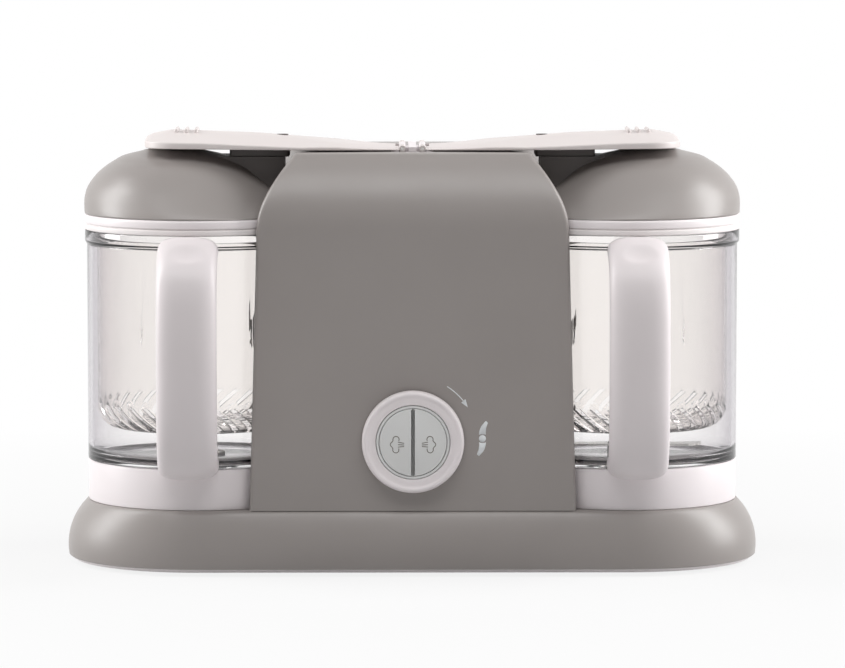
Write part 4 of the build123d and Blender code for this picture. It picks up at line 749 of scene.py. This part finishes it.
def arm(side, sign):
    tip = arm_knots[-1, 0]
    x = np.concatenate([np.linspace(hinge_x, 112 * mm, 34), np.linspace(114 * mm, tip - 6 * mm, 16),
                        tip - 5 * mm * (1 - np.sin(np.linspace(0.1, 1, 12) * pi / 2))])
    half, under, rim, ridge_half, ridge = (np.interp(x, arm_knots[:, 0], column) for column in arm_knots[:, 1:].T)
    past = np.clip(x - (tip - arm_corner), 0, arm_corner)
    half = half - arm_corner + np.sqrt(arm_corner ** 2 - past ** 2)
    ridge_half = np.minimum(ridge_half, 0.7 * half)
    end = np.clip((x - (tip - 1.2 * mm)) / (1.2 * mm), 0, 1) ** 2
    sections = []
    for h, u, r, rh, top, e in zip(half, under, rim, ridge_half, ridge, end):
        h, u, r, top = h - 0.9 * mm * e, u + 0.8 * mm * e, r - 0.8 * mm * e, top - 0.8 * mm * e
        sections.append(soften([(-h, u, 0.5 * mm), (h, u, 0.5 * mm), (h, max(r, u + 0.3 * mm), 0.9 * mm),
                                (rh, max(top, r), 6 * mm), (-rh, max(top, r), 6 * mm),
                                (-h, max(r, u + 0.3 * mm), 0.9 * mm)], 0.5 * mm, 5))
    sections = np.array(sections)
    rings = np.concatenate([np.broadcast_to(sign * x[:, None, None], sections.shape[:2] + (1,)),
                            sections + (0, hinge_z)], -1)
    plate = from_rings(f"lid_arm_{side}_cover", rings, sharp=30)
    combine(plate, level_pin(barrel_radius, -barrel_half, barrel_half, sign * hinge_x, hinge_z, 40), "UNION")
    near, far = sorted((0.0, sign * (hinge_x + barrel_radius + 2 * mm)))
    notch = brick("cutter", (near, -notch_half, hinge_z - 9 * mm), (far, notch_half, hinge_z + 9 * mm), 0.1 * mm)
    bore = level_pin(pin_bore, -30 * mm, 30 * mm, sign * hinge_x, hinge_z, 24)
    cut_away(plate, [notch, bore], 30)
    outline = soften([(-1.1, -12), (1.1, -12), (1.1, 12), (-1.1, 12)], 1.0, 5) * mm
    top = arm_high[2]
    stack = [(top - 2.6 * mm, 0), (top - 0.9 * mm, 0), (top - 0.3 * mm, 0.25 * mm), (top, 0.7 * mm)]
    return join([plate] + [slab("rib", outline, stack, lambda u, v, h, m=sign * place * mm: (m + u, v, h))
                           for place in finger_ribs])


def painted_shade_rib(side, sign):
    """Flat rib between the duct and the arm's underside, dark as painted shade for the arm's shadow: a rounded
    rectangle with eased edges.
    """
    low, high = hinge_z - 5.1 * mm, hinge_z - 0.2 * mm
    outline = soften([(collar_near, -collar_half), (collar_far, -collar_half),
                      (collar_far, collar_half), (collar_near, collar_half)], 2.0, 5) * mm
    stack = [(low, 0.4 * mm), (low + 0.4 * mm, 0), (high - 0.4 * mm, 0), (high, 0.4 * mm)]
    return slab(f"painted_shade_rib_{side}", outline, stack, lambda u, v, h: (sign * u, v, h))


for side, sign in SIDES.items():
    dress(arm(side, sign), f"lid_{side}", "arm", f"lid_arm_{side}")
    # The rib is painted shade: a dark sheet standing for the shadow under the arm.
    dress(painted_shade_rib(side, sign), f"lid_{side}", "duct")
print("arm", round((arm_high[0] - arm_low[0]) / mm, 1), "mm long")

# %% [markdown]
# The control sits low on the column. A white ring turns; inside it a fixed tube guides two half-round
# buttons with a fine gap between them. The ring is turned about a level axis. It keeps the hub and the
# small tab that works the switch behind the panel.
# %% Control ring
ring_front = knob_low[1]
ring_bore, hub_radius = 20.6 * mm, 22.7 * mm
rim = soften([
    (ring_bore, ring_front + 1.4 * mm, 0.4 * mm), (22.4 * mm, ring_front + 1.0 * mm, 0.4 * mm),
    (24.6 * mm, ring_front + 0.8 * mm, 0.8 * mm), (25.9 * mm, ring_front, 0.6 * mm),
    (27.2 * mm, ring_front, 0.6 * mm), (knob_radius, ring_front + 1.7 * mm, 0.9 * mm),
    (knob_radius, ring_front + 7.3 * mm, 0.4 * mm), (hub_radius, ring_front + 7.3 * mm, 0.2 * mm),
    (hub_radius, knob_high[1], 0.2 * mm), (ring_bore, knob_high[1], 0.2 * mm)], 0.4 * mm, 4)
knob = lathe_level("control_ring", rim, knob_z, 144)
tab_back = knob_high[1] - 1.4 * mm
tab = brick("tab", (-3 * mm, tab_back - 2 * mm, knob_low[2]), (3 * mm, tab_back, knob_z - 22 * mm), 0.3 * mm)
dress(join([knob, tab]), "knob", "white", "knob_ring")
print("control ring", round(2 * knob_radius / mm, 1), "mm across, centre at height", round(knob_z / mm, 1))

# %% [markdown]
# The two buttons are halves of one disc. Each is a slab with an eased front edge. Small marks tell what
# they do: a puff of steam drawn as one line. A line mark is a ribbon, whose two edges lie half a width
# each side of its path, raised a tenth of a millimetre.
# %% Buttons and their marks
def ribbon(path, width):
    """Closed outline round an open path: path + n w/2 one way, then path - n w/2 back."""
    path = np.asarray(path, float)
    tangent = np.gradient(path, axis=0)
    tangent /= np.linalg.norm(tangent, axis=1, keepdims=True)
    normal = np.stack([-tangent[:, 1], tangent[:, 0]], -1) * width / 2
    return np.vstack([path + normal, (path - normal)[::-1]])


def arc(x, z, radius, start, end, count=14):
    """Points of a circle about (x, z), from one angle in degrees to another."""
    return circle(np.radians(np.linspace(start, end, count))) * radius + (x, z)


def on_front(depth):
    """Places (u, v, height) with u to the right and v up about the ring's centre, height towards the viewer."""
    return lambda u, v, h: (u, depth - h, knob_z + v)


mark_stack = [(-0.15 * mm, 0), (0.05 * mm, 0), (0.09 * mm, 0.03 * mm)]
cloud = np.vstack([arc(9.4, 1.75, 1.7, 205, -20, 20), arc(11.2, -1.1, 1.35, 65, -65, 12),
                   arc(9.5, -4.0, 1.7, 20, -205, 20)])
jets = [[(8.3, 0.3), (6.6, -0.05), (4.9, -0.4)], [(8.3, -1.15), (6.6, -1.2), (4.9, -1.3)],
        [(8.3, -2.5), (6.6, -2.3), (4.9, -2.15)]]
for side, sign in SIDES.items():
    button_low, button_high = extent(f"button_{side}")
    face, back = button_low[1], button_high[1]
    disc = arc(0, 0, 18.7 * mm, -89.1, 89.1, 60)
    half_disc = np.vstack([disc, [(0.3 * mm, 18.2 * mm), (0.3 * mm, -18.2 * mm)]]) * (sign, 1)
    deep = back - face
    stack = [(-deep, 0.2 * mm), (-deep + 0.4 * mm, 0), (-0.7 * mm, 0), (-0.35 * mm, 0.1 * mm),
             (-0.1 * mm, 0.3 * mm), (0, 0.7 * mm)]
    button = slab(f"button_{side}_cap", half_disc, stack, on_front(face), 40)
    dress(button, f"{side}_button", "button", f"button_{side}")
    lines = [(f"steam_mark_{side}", cloud, 0.46 * mm)] + [("jet", jet, 0.42 * mm) for jet in jets]
    mark = join([slab(name, ribbon(np.array(path) * (sign, 1) * mm, width), mark_stack, on_front(face), 60)
                 for name, path, width in lines])
    dress(mark, f"{side}_button", "ink")

# %% [markdown]
# Two pale prints stand beside the ring: an arc with an arrow head, which says which way to turn it, and
# a two-winged blade, which says what that does. They are thin slabs that lean back with the panel.
# %% Prints on the panel
def on_panel(u, v, h):
    z = knob_z + v
    return u, front_y(z) - h, z


arrow = [slab("turn_arrow", ribbon(arc(0, 0, 35.7 * mm, 58, 36.5, 24), 0.55 * mm), mark_stack, on_panel, 60)]
tip = arc(0, 0, 35.7, 31.6, 38.6, 2)
across_tip = np.array([cos(radians(38.2)), sin(radians(38.2))])
head = np.array([tip[0], tip[1] + 1.55 * across_tip, tip[1] - 1.55 * across_tip]) * mm
arrow.append(slab("head", soften(head, 0.15 * mm, 2), mark_stack, on_panel, 60))
arrow = join(arrow)
centre = np.array([38.5, 1.3])
wing = np.array([(-1.9, 1.95), (-1.75, 4.2), (-0.7, 6.9), (1.9, 9.9), (3.1, 8.8), (2.1, 6.2), (1.8, 3.6),
                 (1.9, 1.95), (1.1, 2.4), (-1.1, 2.4)])
wings = [slab("wing", soften((centre + turn * wing) * mm, 0.5 * mm, 3), mark_stack, on_panel, 60) for turn in (1, -1)]
dot = slab("blade_mark", arc(centre[0] * mm, centre[1] * mm, 1.95 * mm, 0, 352, 45), mark_stack, on_panel, 60)
for print_piece in (arrow, join([dot] + wings)):
    dress(print_piece, "housing", "print")
print("prints at", round(float(front_y(knob_z)) / mm, 1))

# %% [markdown]
# Finishes are networks of nodes. Writing them link by link is slow, so a small class wraps a socket:
# adding, multiplying or comparing two of them adds the Math node that does it, and colours and vectors
# go through nodes of their own kind.
# %% A wrapper for sockets
class Wave:
    """A value that may change over a surface. Arithmetic on it adds Math nodes."""

    def __init__(self, net, socket):
        self.net, self.socket = net, socket

    def math(self, operation, first, second):
        return self.net.node("Math", {"operation": operation}, [first, second])

    def __add__(self, other): return self.math("ADD", self, other)
    def __radd__(self, other): return self.math("ADD", other, self)
    def __sub__(self, other): return self.math("SUBTRACT", self, other)
    def __rsub__(self, other): return self.math("SUBTRACT", other, self)
    def __mul__(self, other): return self.math("MULTIPLY", self, other)
    def __rmul__(self, other): return self.math("MULTIPLY", other, self)
    def __pow__(self, other): return self.math("POWER", self, other)


class Net:
    """A network of nodes."""

    def __init__(self, tree):
        self.tree = tree

    def node(self, kind, settings, values, output=0):
        """Adds a node: its settings first, then a value or a link for each socket."""
        node = self.tree.nodes.new("ShaderNode" + kind)
        for name, value in settings.items():
            setattr(node, name, value)
        for key, value in values.items() if isinstance(values, dict) else enumerate(values):
            if isinstance(value, Wave):
                self.tree.links.new(value.socket, node.inputs[key])
            else:
                node.inputs[key].default_value = value
        return Wave(self, node.outputs[output]) if node.outputs else None


class Finish(Net):
    """One material: a Principled shader and the nodes that feed it."""

    def __init__(self, name, **constants):
        self.material = bpy.data.materials.new(name)
        self.material.use_nodes = True
        super().__init__(self.material.node_tree)
        self.shader = self.tree.nodes["Principled BSDF"]
        for socket, value in constants.items():
            self.shader.inputs[socket.replace("_", " ")].default_value = value

    def place(self):
        return self.node("TexCoord", {}, {}, "Object")

    def noise(self, scale, detail=2.0, rough=0.5, where=None):
        values = {"Vector": where or self.place(), "Scale": scale, "Detail": detail, "Roughness": rough}
        return self.node("TexNoise", {}, values, "Fac")

    def blend(self, share, first, second):
        """Colour that goes from the first to the second as share goes from 0 to 1."""
        return self.node("Mix", {"data_type": "RGBA"}, {0: share, 6: first, 7: second}, 2)

    def stretch(self, value, low, high, to_low=0.0, to_high=1.0):
        """Carries the range low..high to to_low..to_high and clips what lies outside."""
        return self.node("MapRange", {}, [value, low, high, to_low, to_high])

    def feed(self, socket, value):
        self.tree.links.new(value.socket, self.shader.inputs[socket])

    def bump(self, height, strength, distance):
        bumped = self.node("Bump", {}, {"Strength": strength, "Distance": distance, "Height": height})
        self.feed("Normal", bumped)


def shade(red, green, blue):
    """A colour given as on a screen, 0 to 255, turned into the linear light that shaders use."""
    screen = np.array([red, green, blue]) / 255
    linear = np.where(screen <= 0.04045, screen / 12.92, ((screen + 0.055) / 1.055) ** 2.4)
    return (*linear.tolist(), 1.0)


print("grey", [round(v, 3) for v in shade(150, 144, 140)])

# %% [markdown]
# Moulded plastic looks alive because nothing on it is quite even. A very fine grain breaks up its
# shine, a slow drift changes its tone by a percent or two, and faint wipe marks change how rough it is.
# The same recipe serves all the solid plastics, with its own colours, scale and shine.
# %% Solid plastics
def plastic(name, tone, dark, rough, grain, coat=0.0, speck=0.0):
    tone, dark = shade(*tone), shade(*dark)
    finish = Finish(name, IOR=1.5, Coat_Weight=coat, Coat_Roughness=0.12)
    drift = finish.stretch(finish.noise(9.0, 3.0), 0.35, 0.65)
    colour = finish.blend(drift * 0.55, tone, dark)
    if speck:
        dots = finish.stretch(finish.noise(2600.0, 1.0), 0.62, 0.72, 0.0, speck)
        colour = finish.blend(dots, colour, dark)
    finish.feed("Base Color", colour)
    wiped = finish.noise(24.0, 4.0, 0.6)
    finish.feed("Roughness", finish.stretch(wiped, 0.3, 0.7, rough - 0.05, rough + 0.06))
    finish.bump(finish.noise(1500.0, 2.0), 0.35, grain)
    return finish.material


finishes = {
    "grey": plastic("warm_grey_plastic", (145, 139, 136), (138, 132, 129), 0.36, 0.00004, speck=0.25),
    "white": plastic("white_plastic", (228, 221, 222), (222, 215, 217), 0.38, 0.00002),
    # The grip is a shaded copy of the white plastic: its darker tone is painted shade, its higher roughness its soft
    # feel.
    "grip": plastic("soft_white_grip_shaded_copy", (214, 207, 208), (208, 201, 203), 0.46, 0.00003),
    # The arm is a shaded copy of the white plastic: its darker tone is painted shade of its dim front face.
    "arm": plastic("white_arm_plastic_shaded_copy", (211, 203, 201), (206, 198, 196), 0.42, 0.00003),
    "button": plastic("pale_button_plastic", (212, 212, 211), (206, 206, 205), 0.42, 0.00003),
    "seal": plastic("pale_soft_seal", (226, 220, 219), (214, 208, 208), 0.55, 0.00003),
    # The duct plastic's dark tone is painted shade: it stands in for the shadow under the arms.
    "duct": plastic("duct_plastic_painted_shade", (92, 85, 82), (80, 74, 72), 0.45, 0.00003),
    "black": plastic("black_plastic", (34, 31, 34), (26, 24, 26), 0.38, 0.00002),
    "foot": plastic("foot_rubber", (58, 56, 56), (48, 46, 46), 0.75, 0.00006),
    "ink": plastic("icon_ink", (104, 98, 90), (96, 90, 84), 0.5, 0.00001),
    "print": plastic("pale_print", (214, 217, 219), (208, 211, 214), 0.5, 0.00001),
    "inner": plastic("inner_plastic", (190, 188, 184), (180, 178, 174), 0.5, 0.00004),
    "belt": plastic("belt_rubber", (44, 43, 43), (36, 35, 35), 0.8, 0.00008),
    "silicone": plastic("silicone_pipe", (216, 214, 208), (206, 204, 198), 0.45, 0.00002),
    "board": plastic("lacquered_board", (38, 98, 58), (30, 84, 50), 0.35, 0.00002, coat=0.4),
}
print("solid plastics", len(finishes))

# %% [markdown]
# Metals need a direction: brushed steel is scratched along one line, so its noise is stretched hard
# along X. Cast aluminium has an even grain instead, and the bush is sintered bronze, full of fine pores.
# %% Metals
def metal(name, tone, dark, rough, stretch=(1, 1, 1), grain=0.00003, scale=900.0):
    tone, dark = shade(*tone), shade(*dark)
    finish = Finish(name, Metallic=1.0)
    where = finish.node("Mapping", {}, {"Vector": finish.place(), "Scale": stretch})
    lines = finish.noise(scale, 3.0, 0.6, where)
    finish.feed("Base Color", finish.blend(finish.stretch(lines, 0.3, 0.7), tone, dark))
    finish.feed("Roughness", finish.stretch(lines, 0.3, 0.7, rough - 0.06, rough + 0.08))
    finish.bump(lines, 0.4, grain)
    return finish.material


finishes["steel"] = metal("brushed_steel", (205, 203, 200), (186, 184, 181), 0.28, (0.05, 1, 1))
finishes["can"] = metal("zinc_plated_steel", (180, 180, 182), (160, 160, 163), 0.38, (1, 1, 0.1), scale=500.0)
finishes["cast"] = metal("cast_aluminium", (206, 206, 208), (188, 188, 190), 0.5, scale=700.0, grain=0.0001)
finishes["bronze"] = metal("sintered_bronze", (190, 150, 98), (150, 112, 66), 0.5, scale=2200.0, grain=0.00006)
print("finishes", len(finishes))

# %% [markdown]
# Clear plastic bends light, and its edges look darker and a little violet, because there the eye looks
# along the wall instead of through it. Layer Weight gives how edge-on the surface is, and its square or
# cube keeps most of the tint near the rim. The basket is paler, with a faint haze, and bends light less.
# %% Clear plastics
def clear(name, tone, edge, rough, power_of=2.0, haze=0.0, bend=1.46):
    tone, edge = shade(*tone), shade(*edge)
    finish = Finish(name, IOR=bend, Transmission_Weight=1.0 - haze, Specular_IOR_Level=0.5)
    facing = finish.node("LayerWeight", {}, {"Blend": 0.5}, "Facing")
    finish.feed("Base Color", finish.blend(facing ** power_of, tone, edge))
    smear = finish.noise(30.0, 3.0)
    finish.feed("Roughness", finish.stretch(smear, 0.35, 0.7, rough, rough + 0.03))
    return finish.material


finishes["clear"] = clear("clear_bowl_plastic", (255, 254, 254), (112, 94, 116), 0.01)
finishes["basket"] = clear("clear_basket_plastic", (255, 253, 251), (222, 210, 212), 0.02, 3.0, haze=0.03, bend=1.22)
finishes["tank"] = clear("frosted_tank_plastic", (232, 235, 238), (190, 196, 202), 0.22)
print("finishes", sorted(finishes))

# %% [markdown]
# Solids that keep their own shape only need a finish. Each one is listed under the finish it gets.
# %% Dress the remaining solids
kept = {
    "white": ["hinge_block", "dock_left", "dock_right"],
    "button": ["button_carrier"],
    # The ducts take the duct finish, whose dark tone is painted shade.
    "duct": ["steam_duct_left", "steam_duct_right"],
    "seal": ["tank_plug_left", "tank_plug_right", "floor_plug"],
    "black": ["blade_hub", "blade_driver", "drive_coupling", "cord_gland", "knob_switch"],
    "foot": ["rubber_feet"],
    "inner": ["motor_bracket", "motor_pulley", "drive_pulley"],
    "steel": ["blade", "base_screws", "hinge_pins", "drive_shaft", "shaft_bearings", "knob_spring", "heater_plates"],
    "can": ["motor_can", "motor_rotor"],
    "cast": ["boilers"],
    "bronze": ["blade_bush"],
    "belt": ["drive_belt"],
    "silicone": ["steam_pipes", "steam_outlets", "button_pad"],
    "board": ["control_board"],
    "tank": ["water_tank_left", "water_tank_right"],
}
for finish, nodes in kept.items():
    for node in nodes:
        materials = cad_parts[node].data.materials
        materials.clear()
        materials.append(finishes[finish])
for piece_name, finish in dressed.items():
    materials = bpy.data.objects[piece_name].data.materials
    materials.clear()
    materials.append(finishes[finish])
print("kept", sum(len(nodes) for nodes in kept.values()), "new", len(dressed))

# %% [markdown]
# The machine stands on a wide white floor in white air, so no edge shows from any side. Their white is
# a glow for rays that the eye, gloss or glass sends, so the lamps can stay at a plain level: a tall soft
# panel at each end, a wide one high in front, and a little light from all round.
# %% Floor, lamps and air
AIR = 0.12


def studio_floor(reach=14.0, count=8):
    """Flat square sheet, a grid over x and y."""
    x, y = np.meshgrid(np.linspace(-reach, reach, count), np.linspace(-reach, reach, count))
    faces = ring_quads(count, count)[:, :-1].reshape(-1, 4).tolist()
    return make_piece("studio_floor", np.stack([x, y, 0 * x], -1), faces)


def seen_rays(net):
    """1 for rays from the eye, in a reflection or through glass, and 0 for rays of light."""
    path = net.node("LightPath", {}, {}).socket.node
    camera_ray, glossy_ray, glass_ray = (
        Wave(net, path.outputs[f"Is {kind} Ray"]) for kind in ("Camera", "Glossy", "Transmission"))
    seen = net.node("Math", {"operation": "MAXIMUM"}, [camera_ray, glossy_ray])
    return net.node("Math", {"operation": "MAXIMUM"}, [seen, glass_ray])


def empty_net(data):
    """Network of a material or a world, with nothing in it."""
    data.use_nodes = True
    data.node_tree.nodes.clear()
    return Net(data.node_tree)


def paper(name):
    """Paper to the lamps. To the eye it is white far off, and near the machine it still takes its shadow."""
    material = bpy.data.materials.new(name)
    net = empty_net(material)
    matt = net.node("BsdfDiffuse", {}, {"Color": (0.6, 0.6, 0.6, 1)})
    glow = net.node("Emission", {}, {"Strength": 1.0})
    place = net.node("TexCoord", {}, {}, "Object")
    away = net.node("VectorMath", {"operation": "LENGTH"}, [place], "Value")
    far = net.node("MapRange", {}, [away, 0.22, 0.7, 0.84, 1.0])
    net.node("OutputMaterial", {}, {"Surface": net.node("MixShader", {}, [seen_rays(net) * far, matt, glow])})
    return material


floor_piece = studio_floor()
floor_piece.data.materials.append(paper("studio_paper"))


def panel(name, place, aim, size, power):
    """Soft rectangular lamp at a place, facing its aim."""
    light = bpy.data.lights.new(name, "AREA")
    light.shape, light.size, light.size_y, light.energy = "RECTANGLE", size[0], size[1], power
    lamp = bpy.data.objects.new(name, light)
    bpy.context.scene.collection.objects.link(lamp)
    lamp.location = place
    direction = Vector(aim) - Vector(place)
    lamp.rotation_euler = direction.to_track_quat("-Z", "Y").to_euler()
    return lamp


middle = (0, 0, 0.13)
panel("left_softbox", (-1.4, 0.1, 0.75), middle, (0.6, 1.4), 24)
panel("right_softbox", (1.4, 0.05, 0.75), middle, (0.6, 1.4), 27)
panel("top_softbox", (0, -0.95, 1.45), middle, (1.9, 0.7), 14.5)
air = bpy.data.worlds.new("studio_air")
bpy.context.scene.world = air
net = empty_net(air)
strength = net.node("Math", {"operation": "MULTIPLY_ADD"}, [seen_rays(net), 1 - AIR, AIR])
ground = net.node("Background", {}, {"Color": (1, 1, 1, 1), "Strength": strength})
net.node("OutputWorld", {}, {"Surface": ground})
bpy.context.scene.view_settings.view_transform = "Standard"
